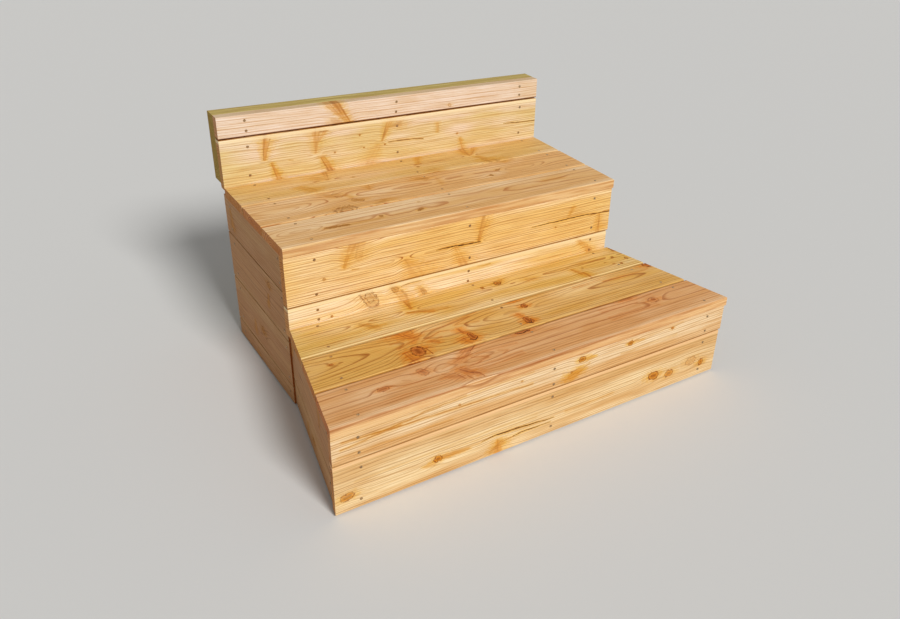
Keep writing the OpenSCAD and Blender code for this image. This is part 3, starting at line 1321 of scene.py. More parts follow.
@dataclass
class TopRiser(SubAssembly):
    """The two boards above the upper tread, screwed to the ledger.

    Attributes:
        columns: Places of the screws along the boards.
        strip_edges: Places of the screws across the strip.
        board_edges: Places of the screws across the full board.
    """

    columns: tuple[float, ...] = (-455.0, 9.0, 465.0)
    strip_edges: tuple[float, ...] = (18.0, 48.0)
    board_edges: tuple[float, ...] = (25.0, 113.0)
    name = "top_riser"

    def boards(self) -> tuple[Board, ...]:
        """Describes the boards with their woods.

        Returns:
            The two boards.
        """
        strip = Board("top_riser_strip", Lay.RISER, ROSE, knots=(
            spike(-150, 62, -188, -2, 8, 13), spike(-174, 42, -212, 0, 4, 8, 0.8),
            haze(-196, 50, -180, 60, 10, 12, 0.5), ringed(196, 50, 5, 0.6),
        ), tinges=(
            Patch(500, 36, 90, 60, 0.8), Patch(-150, 40, 110, 60, 0.4), Patch(40, 20, 90, 30, 0.5),
            Patch(-360, 50, 90, 26, -0.4),
        ), lines=(
            EdgeLine(1.5, 4.0, 0.8, far=True),
        ), grain=Grain(pith_across=130, pith_depth=26, ring=6.6, wander=5, heart=40, contrast=0.5))
        board = Board("top_riser_board", Lay.RISER, HONEY, knots=(
            spike(-411, 72, -400, 0, 4, 14), spike(-258, 72, -250, 0, 5, 15, 0.7),
            spike(-250, 44, -224, 12, 3, 6, 0.7), spike(-390, 88, -374, 136, 4, 8),
            spike(-238, 92, -212, 138, 6, 13), spike(-42, 66, -14, 4, 4, 12, 0.8),
            haze(-60, 84, -84, 126, 10, 18, 0.6), haze(-10, 26, 18, 24, 8, 12, 0.6),
            spike(152, 66, 152, 38, 3, 5, 0.6), spike(236, 100, 248, 138, 4, 7, 0.8), pin(-198, 82, 2.6),
            pin(-104, 80, 2.6), pin(-34, 81, 2.6), pin(224, 81, 2.6), pin(-116, 40, 2.6),
        ), checks=(
            Check(0.8, ((-24, 74, 0.5), (14, 75, 1.7), (100, 80, 1.1))),
            Check(0.85, ((404, 72, 0.5), (440, 73, 1.5), (536, 78, 1.2))),
            Check(0.7, ((-240, 13, 1.6), (-214, 11, 1.4))), Check(0.5, ((-340, 84, 1.2), (-328, 86, 0.8))),
        ), tinges=(
            Patch(-440, 50, 110, 40, -0.8), Patch(-230, 40, 60, 60, 0.3), Patch(10, 62, 90, 22, -0.6),
            Patch(-40, 20, 140, 30, 0.8), Patch(230, 66, 90, 30, -0.8), Patch(420, 66, 120, 30, -0.4),
            Patch(-500, 126, 110, 34, 1), Patch(-320, 118, 130, 30, 0.5), Patch(-90, 40, 70, 50, 0.5),
            Patch(330, 24, 110, 28, 0.7), Patch(20, 118, 90, 30, 0.4), Patch(-330, 40, 80, 40, 0.3),
        ), lines=(
            EdgeLine(7.0, 12.0, 0.7, pale=True),
        ), grain=Grain(pith_across=79, pith_depth=4, ring=6.4, wander=4, heart=46, contrast=0.6))
        return strip, board

    def screw_rows(self) -> tuple[ScrewRow, ...]:
        """Describes the rows of screws.

        Returns:
            The rows.
        """
        return (
            ScrewRow("top_riser_strip", Lay.RISER, self.columns, self.strip_edges),
            ScrewRow("top_riser_board", Lay.RISER, self.columns, self.board_edges),
        )


@dataclass
class UpperStep(BoxStep):
    """The upper step's tread, riser and sides.

    Attributes:
        tread_columns: Places of the screws along the tread.
    """

    tread_columns: tuple[float, ...] = (-450.0, 13.0, 472.0)
    riser_columns: tuple[float, ...] = (-454.0, 10.0, 463.0)
    tread_edges: tuple[float, ...] = (18.0, 124.0)
    riser_edges: tuple[float, ...] = (22.0, 121.0)
    strip_edges: tuple[float, ...] = (19.0, 52.0)
    side_ends: tuple[float, ...] = (24.0, 396.0)
    pair_width: float = 90.0
    name = "upper_step"

    def boards(self) -> tuple[Board, ...]:
        """Returns the boards with their woods."""
        return self._treads() + self._risers() + self._sides()

    @staticmethod
    def _treads() -> tuple[Board, ...]:
        """Describes the three tread boards.

        Returns:
            The boards, from back to front.
        """
        back = Board("upper_tread_back", Lay.TREAD, SAND, knots=(
            spike(-252, 64, -240, 0, 4, 13, 0.6), haze(-284, 36, -270, 50, 12, 14, 0.6),
            haze(-344, 92, -320, 122, 10, 14, 0.9), spike(46, 64, 72, 10, 4, 7, 0.9),
            spike(234, 62, 236, 0, 6, 15, 0.9), spike(244, 58, 286, 4, 4, 8, 0.9),
            spike(250, 84, 270, 114, 6, 8, 0.9), haze(262, 118, 280, 144, 14, 24), pin(-176, 77, 4),
            pin(36, 84, 4.5), haze(56, 130, 72, 132, 12, 14, 0.6),
        ), checks=(
            Check(0.55, ((262, 64, 1.4), (310, 65, 2))), Check(0.5, ((310, 65, 2), (362, 67, 1))),
            Check(0.3, ((-480, 128, 1.2), (-300, 126, 1.8), (-150, 130, 1))),
        ), tinges=(
            Patch(-380, 66, 120, 30, -0.5), Patch(-150, 80, 140, 34, -0.6), Patch(0, 20, 140, 30, 0.4),
            Patch(270, 122, 260, 34, 0.7), Patch(420, 40, 140, 60, 0.5), Patch(-440, 18, 140, 24, 0.5),
            Patch(30, 116, 120, 34, 0.9), Patch(390, 116, 130, 40, 1), Patch(180, 100, 60, 50, 0.3),
        ), grain=Grain(pith_across=64, pith_depth=14, ring=8.0, wander=5, heart=60, contrast=0.6))
        middle = Board("upper_tread_middle", Lay.TREAD, BISCUIT, knots=(
            haze(-314, 8, -284, 44, 9, 12, 0.4), ringed_oval(-278, 26, -274, 46, 9, 9, 0.4),
            spike(-258, 42, -244, 64, 4, 6, 0.7), oval(-246, 88, -230, 95, 8, 9, 0.6),
            ringed(-294, 150, 32, 0.6), ringed(-294, 147, 17, 0.6), haze(-10, 24, 6, 34, 12, 12, 0.8),
            pin(246, 64, 6), spike(-176, 34, -170, 6, 5, 8, 0.6), spike(34, 92, 42, 40, 4, 6, 0.4),
            haze(290, -4, 306, 2, 10, 12, 0.9), haze(-200, 140, -170, 130, 10, 12, 0.6), pin(205, 94, 6),
        ), bows=(
            Patch(-250, 66, 220, 90, 9), Patch(330, 84, 140, 50, -16), Patch(-440, 90, 120, 50, -8),
        ), tinges=(
            Patch(-430, 84, 160, 34, -0.6), Patch(210, 82, 100, 40, -0.5), Patch(-150, 60, 130, 40, -0.8),
            Patch(0, 124, 900, 20, 0.5), Patch(400, 110, 190, 46, 1.1), Patch(-260, 126, 140, 24, 0.6),
            Patch(30, 112, 150, 40, 1.3), Patch(20, 20, 150, 34, 0.7), Patch(370, 96, 130, 50, 0.5),
            Patch(450, 40, 130, 60, 0.8), Patch(-400, 20, 110, 34, -0.6),
        ), grain=Grain(pith_across=62, pith_depth=34, ring=8.0, rise=10, wander=5, heart=96, contrast=0.62))
        front = Board("upper_tread_front", Lay.TREAD, BISCUIT, knots=(
            long_pin(-388, 78, -330, 83, 5, 5), haze(-330, 84, -230, 82, 5, 5, 0.4), disc(-229, 71, 6, 0.9),
            oval(-118, 82, -106, 77, 5, 5), pin(-92, 30, 4, 0.4), haze(330, 54, 390, 56, 8, 8, 0.6),
        ), bows=(
            Patch(-460, 62, 120, 56, -16), Patch(80, 60, 160, 70, 10),
        ), checks=(
            Check(0.45, ((-330, 84, 2.4), (-240, 88, 1))), Check(0.3, ((-240, 76, 1), (-120, 78, 1.4))),
        ), tinges=(
            Patch(-340, 40, 260, 50, -1), Patch(-120, 30, 140, 40, -0.8), Patch(-330, 118, 260, 26, 0.5),
            Patch(0, 120, 900, 28, 1.2), Patch(400, 30, 160, 40, 0.7), Patch(420, 104, 180, 40, 0.5),
            Patch(-340, 72, 110, 30, 0.5), Patch(-100, 60, 160, 30, -0.5),
        ), grain=Grain(pith_across=66, pith_depth=40, ring=8.0, rise=-10, wander=5, heart=50, contrast=0.5))
        return back, middle, front

    @staticmethod
    def _risers() -> tuple[Board, ...]:
        """Describes the riser board and the ripped strip under it.

        Returns:
            The two boards.
        """
        board = Board("upper_riser_board", Lay.RISER, BUTTER, knots=(
            spike(-371, 64, -344, -4, 5, 18, 0.7), spike(-373, 64, -362, 34, 3, 6),
            haze(-330, 40, -322, 0, 12, 14, 0.5), spike(42, 76, 60, -2, 5, 14, 0.7),
            spike(42, 77, 47, 50, 3, 4), haze(-192, 84, -158, 143, 8, 26, 0.75),
            spike(-36, 80, -6, 145, 5, 18, 0.7), spike(366, 64, 382, 36, 3, 5, 0.6),
            spike(488, 80, 488, 140, 5, 10, 0.7), pin(-430, 84, 4, 0.7), pin(318, 92, 3),
        ), checks=(
            Check(1, ((-98, 76, 0.6), (-60, 75, 1.8), (-34, 76, 2.4), (48, 81, 1.4))),
            Check(0.9, ((228, 73, 0.8), (340, 72, 1.9), (440, 73, 1.6), (530, 79, 1.6))),
            Check(0.5, ((-328, 39, 1.2), (-318, 41, 0.8))), Check(0.6, ((-350, 73, 1.4), (-332, 76, 1))),
        ), tinges=(
            Patch(-460, 40, 130, 60, -0.7), Patch(-420, 120, 160, 40, -1), Patch(-60, 20, 160, 40, 1),
            Patch(-230, 112, 140, 36, -0.6), Patch(-220, 14, 120, 24, 0.6), Patch(300, 40, 200, 30, 0.4),
            Patch(400, 60, 150, 60, 0.9), Patch(40, 120, 70, 30, -0.4), Patch(-290, 70, 120, 26, -0.4),
        ), lines=(
            EdgeLine(1.5, 4.0, 0.6, far=True),
        ), grain=Grain(pith_across=77, pith_depth=4, ring=6.4, wander=4, heart=60, contrast=0.7))
        strip = Board("upper_riser_strip", Lay.RISER, CREAM, knots=(
            ringed_oval(-316, 10, -296, 42, 16, 17, 0.7), ringed_oval(-310, 18, -300, 34, 8, 8, 0.7),
            haze(-330, -8, -284, 58, 10, 14, 0.5), oval(-238, 8, -226, 22, 6, 8, 0.6),
            haze(-238, 0, -214, 34, 8, 11, 0.9), haze(-214, 34, -196, 62, 12, 14, 0.8),
            oval(-143, 42, -136, 52, 5, 7, 0.6), haze(-152, 34, -134, 62, 8, 11, 0.8),
            spike(404, 0, 462, 56, 5, 11, 0.7), pin(-416, 52, 3.6),
        ), checks=(
            Check(0.75, ((-208, 15, 0.6), (-178, 10, 1.7), (-146, 13, 0.6))),
            Check(0.6, ((40, 12, 0.5), (84, 14, 1.2))),
        ), tinges=(
            Patch(-420, 14, 180, 30, -1.5), Patch(-170, 44, 90, 28, -1.2), Patch(-60, 46, 90, 20, -0.5),
            Patch(-60, 12, 150, 16, 0.3), Patch(340, 36, 240, 40, 0.9), Patch(60, 12, 90, 26, 0.5),
            Patch(-170, 30, 50, 30, 0.3),
        ), lines=(
            EdgeLine(7.0, 12.0, 0.7, pale=True), EdgeLine(1.0, 4.0, 0.15),
        ), grain=Grain(pith_across=-46, pith_depth=30, ring=6.4, rise=6, wander=5, heart=30, contrast=0.5))
        return board, strip

    @staticmethod
    def _sides() -> tuple[Board, ...]:
        """Describes the four courses of each side.

        Returns:
            The boards.
        """
        return tuple(
            Board(
                # The left sides take the darker tone: painted shade.
                f"{side}_side_course_{course}", lay, PAINTED_SHADE_TONE if side == "left" else SAND,
                Grain(pith, 16 + 5 * course, ring=4.4, wander=8, contrast=0.6),
                scattered_knots(10 * course + len(side), span, 130.0, 2 if course in (2, 3) else 1),
            )
            for course, pith in zip(COURSES, (120.0, 70.0, 84.0, 60.0))
            for side, lay, span in SIDE_SPANS
        )

    def screw_rows(self) -> tuple[ScrewRow, ...]:
        """Describes the rows of screws.

        Returns:
            The rows.
        """
        rows = [
            ScrewRow(f"upper_tread_{place}", Lay.TREAD, self.tread_columns, self.tread_edges)
            for place in TREAD_PLACES
        ]
        rows.append(ScrewRow("upper_riser_board", Lay.RISER, self.riser_columns, self.riser_edges))
        rows.append(ScrewRow("upper_riser_strip", Lay.RISER, self.riser_columns, self.strip_edges))
        for course in COURSES:
            rows += [self._side_row(f"{side}_side_course_{course}", lay) for side, lay, _ in SIDE_SPANS]
        return tuple(rows)


@dataclass
class LowerStep(BoxStep):
    """The lower step, which flares out on both sides.

    Attributes:
        middle_column: Place of the middle screws along the tread boards.
        end_inset: How far the outer screws stay from the ends of a tread board.
    """

    middle_column: float = 15.0
    end_inset: float = 78.0
    riser_columns: tuple[float, ...] = (-545.0, 11.0, 568.0)
    tread_edges: tuple[float, ...] = (19.0, 122.0)
    riser_edges: tuple[float, ...] = (25.0, 121.0)
    strip_edges: tuple[float, ...] = (19.0, 66.0)
    side_ends: tuple[float, ...] = (26.0, 400.0)
    name = "lower_step"

    def boards(self) -> tuple[Board, ...]:
        """Returns the boards with their woods."""
        return self._treads() + self._risers() + self._sides()

    @staticmethod
    def _treads() -> tuple[Board, ...]:
        """Describes the three tread boards.

        Returns:
            The boards, from back to front.
        """
        back = Board("lower_tread_back", Lay.TREAD, GOLD, knots=(
            spike(-207, 54, -198, 0, 5, 12, 0.75), spike(-224, 70, -160, 92, 5, 9),
            haze(-222, 74, -120, 92, 9, 10, 0.7), haze(-362, 68, -330, 98, 9, 12, 0.8),
            spike(-344, 70, -338, 92, 4, 6, 0.6), pin(30, 46, 6), disc(84, 42, 10, 1),
            haze(92, 38, 100, 30, 8, 8, 0.8), spike(334, 78, 348, 114, 6, 8, 0.9),
            spike(352, 110, 358, 150, 8, 10, 1), oval(542, 14, 542, 30, 9, 9, 0.9), pin(502, 68, 5),
            pin(502, 116, 5), pin(540, 94, 6, 0.8), pin(478, 108, 5, 0.7), pin(370, 84, 4, 0.7),
            pin(458, 88, 4, 0.6), haze(178, 66, 196, 70, 10, 10, 0.7),
        ), checks=(
            Check(0.35, ((-400, 56, 1), (-320, 62, 2), (-270, 72, 1))),
            Check(0.4, ((300, 66, 1.2), (370, 54, 2.2), (450, 47, 1.2))),
            Check(0.3, ((-520, 92, 1), (-380, 96, 2))),
        ), tinges=(
            Patch(-300, 20, 260, 40, -0.9), Patch(-230, 70, 90, 26, -0.5), Patch(20, 60, 60, 26, -0.4),
            Patch(-120, 40, 120, 40, 0.6), Patch(0, 130, 900, 40, -0.5), Patch(240, 120, 200, 32, 0.5),
            Patch(440, 70, 130, 40, 0.7), Patch(-120, 116, 90, 30, 0.5), Patch(-440, 60, 90, 30, -0.5),
            Patch(-200, 46, 70, 60, 0.7),
        ), lines=(
            EdgeLine(1.0, 3.5, 0.95, pale=True, far=True),
        ), grain=Grain(pith_across=62, pith_depth=14, ring=8.0, wander=5, heart=110, contrast=0.62))
        middle = Board("lower_tread_middle", Lay.TREAD, AMBER, knots=(
            oval(-293, 99, -292, 111, 16, 16), haze(-321, 100, -315, 140, 8, 13),
            haze(-276, 34, -296, -4, 12, 20), haze(-262, 42, -284, 62, 7, 7, 0.8),
            haze(-240, 78, -226, 88, 7, 7, 0.8), oval(-135, 98, -133, 118, 7, 10),
            spike(-138, 94, -147, 64, 5, 9, 0.9), haze(-160, 112, -150, 126, 11, 13),
            oval(43, 104, 45, 120, 9, 11), spike(42, 98, 34, 72, 5, 7, 0.9), disc(78, 42, 9),
            haze(56, 2, 70, 4, 9, 9), disc(568, 10, 15, 0.95), pin(-505, 54, 4.5, 0.8),
        ), bows=(
            Patch(-270, 62, 330, 140, 24), Patch(420, 34, 260, 60, -14),
        ), checks=(
            Check(0.75, ((-268, 106, 1.8), (-265, 134, 1.4))),
            Check(0.75, ((-275, 102, 1.4), (-268, 107, 2))), Check(0.35, ((-320, 98, 2), (-315, 140, 2.6))),
            Check(0.5, ((-302, 6, 2.2), (-292, 24, 2.2))), Check(0.55, ((-288, 14, 2.4), (-278, 34, 2.4))),
            Check(0.5, ((-262, 4, 1.8), (-262, 20, 1.8))), Check(0.5, ((-330, 72, 2.6), (-300, 60, 2.2))),
            Check(0.55, ((-300, 60, 2.2), (-262, 50, 2.4))), Check(0.5, ((-240, 77, 2), (-206, 72, 1.6))),
            Check(0.55, ((-240, 84, 2.4), (-222, 90, 2.4))),
            Check(0.6, ((-160, 108, 2.4), (-158, 118, 2.4))), Check(0.45, ((-146, 38, 2), (-90, 18, 2))),
            Check(0.4, ((-146, 38, 2), (-80, 50, 1.6))), Check(0.6, ((-150, 66, 1.8), (-146, 84, 2.4))),
            Check(1, ((-146, 122, 1.6), (-134, 130, 2.2))),
            Check(0.9, ((-134, 130, 2.2), (-124, 120, 1.4))), Check(1, ((36, 122, 1.6), (46, 130, 2))),
            Check(0.9, ((46, 130, 2), (54, 112, 1.6))), Check(0.45, ((266, 24, 1.4), (300, 25, 2.2))),
            Check(0.35, ((300, 25, 2.2), (372, 20, 1.2))), Check(0.55, ((372, 34, 1.8), (460, 38, 2.4))),
            Check(0.4, ((460, 38, 2.4), (550, 36, 1.2))), Check(0.5, ((-340, 42, 1.2), (-298, 38, 2))),
            Check(0.4, ((-340, 28, 1.4), (-180, 30, 2), (-60, 4, 1.4))),
            Check(0.55, ((-262, 68, 1.8), (-225, 55, 2), (-200, 48, 1.8))),
            Check(0.5, ((-200, 48, 1.8), (-160, 58, 1.4))),
        ), tinges=(
            Patch(-330, 50, 50, 14, -0.4), Patch(-300, 122, 260, 34, 0.3), Patch(230, 30, 140, 44, -1),
            Patch(-380, 84, 200, 70, 0.7), Patch(-420, 24, 120, 30, 0.6), Patch(-200, 20, 110, 30, -0.6),
            Patch(330, 24, 120, 36, -0.8), Patch(-130, 70, 110, 30, -0.3), Patch(60, 24, 110, 30, -0.6),
        ), lines=(
            EdgeLine(1.5, 6.0, 0.6), EdgeLine(1.0, 3.0, 0.6, pale=True, far=True),
        ), grain=Grain(pith_across=58, pith_depth=30, ring=8.4, wander=4, heart=104, contrast=0.62))
        front = Board("lower_tread_front", Lay.TREAD, SALMON, knots=(
            oval(-450, 62, -436, 62, 7, 8, 0.7), oval(-330, 38, -324, 48, 10, 11, 0.6),
            haze(-240, 82, -220, 112, 10, 14), haze(-226, 98, -214, 122, 12, 12, 0.6),
            haze(-286, 92, -252, 114, 8, 12, 0.6), haze(-220, 42, -170, 0, 9, 13, 0.7),
            haze(-230, 46, -212, 40, 10, 10, 0.7), ringed_oval(426, 46, 438, 46, 12, 12, 0.7),
            disc(434, 44, 6, 0.8), oval(-14, 0, 8, 0, 12, 12), haze(350, 4, 372, 6, 12, 12, 0.9),
        ), bows=(
            Patch(-250, 62, 190, 90, -10), Patch(160, 60, 260, 80, 3),
        ), checks=(
            Check(1, ((-22, 10, 1.6), (-6, 13, 2.2), (12, 6, 1.8))),
            Check(0.75, ((-176, 20, 1.6), (-150, 2, 2.2))), Check(0.6, ((-204, 12, 1.4), (-182, 2, 1.8))),
            Check(0.5, ((-218, 30, 1.6), (-196, 20, 1.6))), Check(0.55, ((-200, 38, 1.6), (-180, 26, 1.8))),
            Check(0.7, ((-241, 80, 2.4), (-230, 98, 3.6))),
            Check(0.72, ((-230, 98, 3.6), (-221, 108, 3.6))),
            Check(0.7, ((-221, 104, 3), (-207, 116, 2.6))),
            Check(0.6, ((-239, 112, 2.4), (-233, 130, 2.4))),
            Check(0.62, ((-207, 114, 2.6), (-204, 134, 2))),
            Check(0.55, ((-258, 100, 3.4), (-250, 120, 2.6))),
            Check(0.5, ((-230, 80, 1.6), (-190, 77, 2.2))), Check(0.55, ((-190, 77, 2.2), (-150, 66, 2.2))),
            Check(0.55, ((-190, 48, 1.8), (-150, 61, 2.2))),
            Check(0.4, ((-110, 54, 1.6), (-88, 62, 2), (-108, 73, 1.4))),
            Check(0.42, ((-200, 92, 1.6), (-60, 85, 1.8))), Check(0.42, ((-196, 108, 1.6), (-60, 96, 1.8))),
            Check(0.4, ((-170, 38, 1.6), (-50, 46, 1.8))), Check(0.5, ((-290, 76, 1.6), (-262, 90, 2.4))),
            Check(0.3, ((-440, 76, 1.2), (-300, 74, 1.8))), Check(0.4, ((250, 18, 1.6), (450, 17, 1.6))),
            Check(0.4, ((250, 32, 1.8), (380, 34, 1.4))), Check(0.4, ((250, 64, 1.6), (430, 66, 1.4))),
            Check(0.42, ((250, 78, 1.8), (430, 76, 1.6))),
            Check(0.32, ((-540, 108, 1.2), (-280, 110, 1.8))),
            Check(0.3, ((-280, 58, 1.2), (-180, 24, 1.4))),
        ), tinges=(
            Patch(-220, 18, 90, 22, -0.8), Patch(-280, 62, 70, 22, -0.6), Patch(-222, 124, 16, 11, -1.2),
            Patch(-460, 60, 120, 40, -0.5), Patch(200, 90, 90, 50, 0.7), Patch(-430, 16, 110, 30, 0.5),
            Patch(-100, 114, 90, 28, 0.6), Patch(-340, 60, 60, 30, -0.5), Patch(0, 122, 900, 16, 0.3),
            Patch(-150, 124, 90, 24, 0.5), Patch(-480, 100, 90, 60, -0.35), Patch(260, 110, 110, 60, 0.3),
        ), lines=(
            EdgeLine(1.5, 6.0, 0.8),
        ), grain=Grain(pith_across=52, pith_depth=38, ring=8.0, wander=4, heart=84, contrast=0.5))
        return back, middle, front

    @staticmethod
    def _risers() -> tuple[Board, ...]:
        """Describes the ripped strip and the full board of the front riser.

        Returns:
            The two boards.
        """
        strip = Board("lower_riser_strip", Lay.RISER, STRAW, knots=(
            oval(96, 18, 104, 18, 7, 8), oval(268, 20, 274, 20, 6, 7), pin(-278, 28, 3.6, 0.7),
            pin(430, 18, 5), haze(68, 62, 94, 52, 14, 11), pin(68, 50, 4, 0.8), pin(-94, 22, 2.6, 0.7),
            haze(-510, 26, -440, 28, 3, 4, 0.9), haze(116, 19, 140, 22, 8, 5, 0.9),
            haze(284, 20, 320, 21, 6, 3, 0.6),
        ), checks=(
            Check(0.6, ((-586, 21, 1.4), (-480, 26, 2.4), (-420, 20, 1.9))),
            Check(0.55, ((-420, 20, 1.9), (-360, 11, 1.6), (-260, 8, 1.4))),
            Check(0.55, ((-590, 41, 1.4), (-480, 29, 2))),
            Check(0.55, ((-480, 28, 2), (-260, 35, 1.7), (-60, 41, 1.7))),
            Check(0.4, ((-620, 5, 1.2), (-260, 4, 1.6))), Check(0.4, ((-260, 8, 1.4), (-60, 4, 1.4))),
            Check(0.45, ((88, 60, 2.2), (128, 38, 1.4))), Check(0.35, ((240, 46, 1.4), (450, 44, 1.4))),
            Check(0.35, ((292, 20, 1), (470, 8, 1))), Check(0.35, ((-600, 60, 1.2), (-300, 64, 1.2))),
        ), tinges=(
            Patch(-200, 21, 260, 17, -1.2), Patch(90, 20, 130, 26, -1), Patch(-560, 32, 60, 8, -0.6),
            Patch(330, 24, 160, 26, -0.4), Patch(-260, 66, 380, 26, 0.8), Patch(-500, 12, 130, 8, 0.4),
            Patch(-520, 56, 130, 30, 0.4), Patch(80, 56, 40, 20, 0.5), Patch(300, 62, 200, 26, 0.8),
        ), lines=(
            EdgeLine(1.5, 4.0, 0.4, far=True),
        ), grain=Grain(
            pith_across=118, pith_depth=34, ring=6.6, rise=6, sweep=-8, wander=4, heart=66, contrast=0.58,
        ))
        board = Board("lower_riser_board", Lay.RISER, PEACH, knots=(
            oval(-588, 101, -574, 98, 10, 10, 0.75), oval(-340, 88, -336, 88, 9, 9),
            haze(-376, 98, -350, 98, 4, 8, 0.7), haze(-322, 88, -250, 92, 8, 4, 0.7),
            spike(-160, 106, -160, 136, 8, 15, 0.8), haze(-180, 132, -150, 116, 8, 12, 0.8),
            oval(374, 82, 386, 84, 12, 13), haze(396, 84, 412, 86, 9, 7, 0.7),
            oval(440, 96, 448, 96, 11, 11, 0.8), ringed_oval(524, 80, 538, 80, 13, 13, 0.6),
            disc(576, 98, 10, 0.95),
        ), checks=(
            Check(0.9, ((-212, 87, 0.6), (-176, 83, 1.6))),
            Check(1, ((-176, 83, 1.6), (-122, 85, 2), (20, 96, 0.6))),
            Check(0.7, ((-148, 114, 0.8), (-112, 107, 1.4))),
            Check(0.85, ((-112, 107, 1.4), (-84, 105, 2))), Check(0.9, ((-84, 105, 2), (10, 108, 0.6))),
            Check(0.4, ((-330, 84, 1.4), (-212, 88, 1.2))), Check(0.25, ((-560, 62, 1.2), (-40, 60, 1.4))),
            Check(0.28, ((-300, 74, 1), (-40, 72, 1.4))), Check(0.4, ((60, 92, 2), (230, 90, 1.6))),
        ), tinges=(
            Patch(-300, 66, 420, 20, -1), Patch(-380, 112, 300, 22, -0.6), Patch(-540, 50, 110, 60, 0.4),
            Patch(-400, 26, 110, 30, -0.4), Patch(-300, 128, 260, 20, 0.5), Patch(300, 22, 420, 30, 0.5),
            Patch(300, 70, 400, 24, -0.5), Patch(-420, 140, 260, 14, 0.8), Patch(320, 112, 340, 34, 0.4),
            Patch(-300, 92, 70, 14, 0.6), Patch(-120, 124, 100, 24, -0.7),
        ), lines=(
            EdgeLine(7.0, 12.0, 0.7, pale=True),
        ), grain=Grain(
            pith_across=-14, pith_depth=44, ring=6.4, rise=-6, wander=4, heart=70, contrast=0.55,
        ))
        return strip, board

    @staticmethod
    def _sides() -> tuple[Board, ...]:
        """Describes the flared sides.

        Returns:
            The boards.
        """
        return tuple(
            Board(
                # The left sides take the darker tone: painted shade.
                f"{side}_flared_side_{place}", lay, PAINTED_SHADE_TONE if side == "left" else GOLD,
                Grain(pith, 24, ring=4.6, wander=8, contrast=0.6),
                scattered_knots(len(side) * 7 + len(place), span, width, 2),
                turn=flare_angle(side == "right"),
            )
            for side, lay, span in SIDE_SPANS
            for place, pith, width in (("top", 66.0, 130.0), ("bottom", 110.0, 75.0))
        )

    def screw_rows(self) -> tuple[ScrewRow, ...]:
        """Describes the rows of screws.

        Returns:
            The rows.
        """
        rows = []
        middle = Lay.TREAD.origin("upper_tread_front").x
        for place in TREAD_PLACES:
            node = f"lower_tread_{place}"
            low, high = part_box(node)
            ends = ((low.x - middle) / MM + self.end_inset, (high.x - middle) / MM - self.end_inset)
            for end, right in zip(ends, (False, True)):
                lean = abs(math.tan(flare_angle(right))) * (self.tread_edges[1] - self.tread_edges[0])
                inner = end - math.copysign(lean, end)
                rows.append(ScrewRow(node, Lay.TREAD, (inner,), self.tread_edges, slant=lean))
            rows.append(ScrewRow(node, Lay.TREAD, (self.middle_column,), self.tread_edges))
        rows.append(ScrewRow("lower_riser_strip", Lay.RISER, self.riser_columns, self.strip_edges))
        rows.append(ScrewRow("lower_riser_board", Lay.RISER, self.riser_columns, self.riser_edges))
        for side, lay, _ in SIDE_SPANS:
            turn = flare_angle(side == "right")
            rows += [self._side_row(f"{side}_flared_side_{place}", lay, turn) for place in ("top", "bottom")]
        return tuple(rows)


@dataclass
class TimberFrame(SubAssembly):
    """The pressure-treated timbers under the boards.

    Attributes:
        ring: Mean width of a growth ring, in millimetres.
        contrast: How plainly the late wood stands out.
        end_clear: How far knots stay from a timber's ends, in millimetres.
    """

    ring: float = 4.8
    contrast: float = 0.75
    end_clear: float = 30.0
    name = "timber_frame"

    def boards(self) -> tuple[Board, ...]:
        """Describes the timbers with their woods.

        Returns:
            The timbers.
        """
        timbers = [
            self._timber("ledger", Lay.RISER, (92.0, 60.0), (1066.0, 198.0), 4),
            self._timber("back_rail", Lay.RISER, (30.0, 40.0), (1000.0, 98.0), 3),
        ]
        for side in ("left", "middle", "right"):
            turn = 0.0 if side == "middle" else flare_angle(side == "right")
            timbers += [
                self._timber(f"back_post_{side}", Lay.POST, (54.0, 40.0), (500.0, 98.0), 3),
                self._timber(f"upper_upright_{side}", Lay.POST, (30.0, 60.0), (469.0, 98.0), 2),
                self._timber(f"lower_upright_{side}", Lay.POST, (60.0, -20.0), (234.0, 98.0), 1),
                self._timber(f"upper_bearer_{side}", Lay.RIGHT_SIDE, (110.0, 24.0), (442.0, 98.0), 2),
                self._timber(f"lower_bearer_{side}", Lay.RIGHT_SIDE, (40.0, 70.0), (442.0, 98.0), 2, turn),
            ]
        return tuple(timbers)

    def _timber(
        self, node: str, lay: Lay, pith: Pair, size: Pair, knots: int, turn: float = 0.0
    ) -> Board:
        """Describes one timber, in millimetres.

        Args:
            node: Its node.
            lay: How it lies.
            pith: Distance of the pith from its edge, and the pith's depth.
            size: Its length and width.
            knots: How many knots it has.
            turn: Angle by which it is turned about the vertical, in radians.

        Returns:
            The timber.
        """
        length, width = size
        grain = Grain(*pith, self.ring, wander=9.0, heart=20.0, contrast=self.contrast)
        start = -length / 2 if lay is Lay.RISER else 0.0
        span = (start + self.end_clear, start + length - self.end_clear)
        seed = sum(ord(letter) * (place + 1) for place, letter in enumerate(node))
        return Board(node, lay, TREATED, grain, scattered_knots(seed, span, width, knots), turn=turn)


@dataclass(frozen=True)
class FloorFinish:
    """A plain pale matt floor.

    Attributes:
        colour: Its colour.
        roughness: How matt it is.
    """

    colour: Colour = tint(226, 225, 222)
    roughness: float = 0.9

    def material(self) -> bpy.types.Material:
        """Makes the floor's material.

        Returns:
            The material.
        """
        material, wiring = new_material("pale_floor")
        wiring.surface({
            "Base Color": self.colour, "Roughness": self.roughness, "Specular IOR Level": MATT_SPECULAR,
        })
        return material


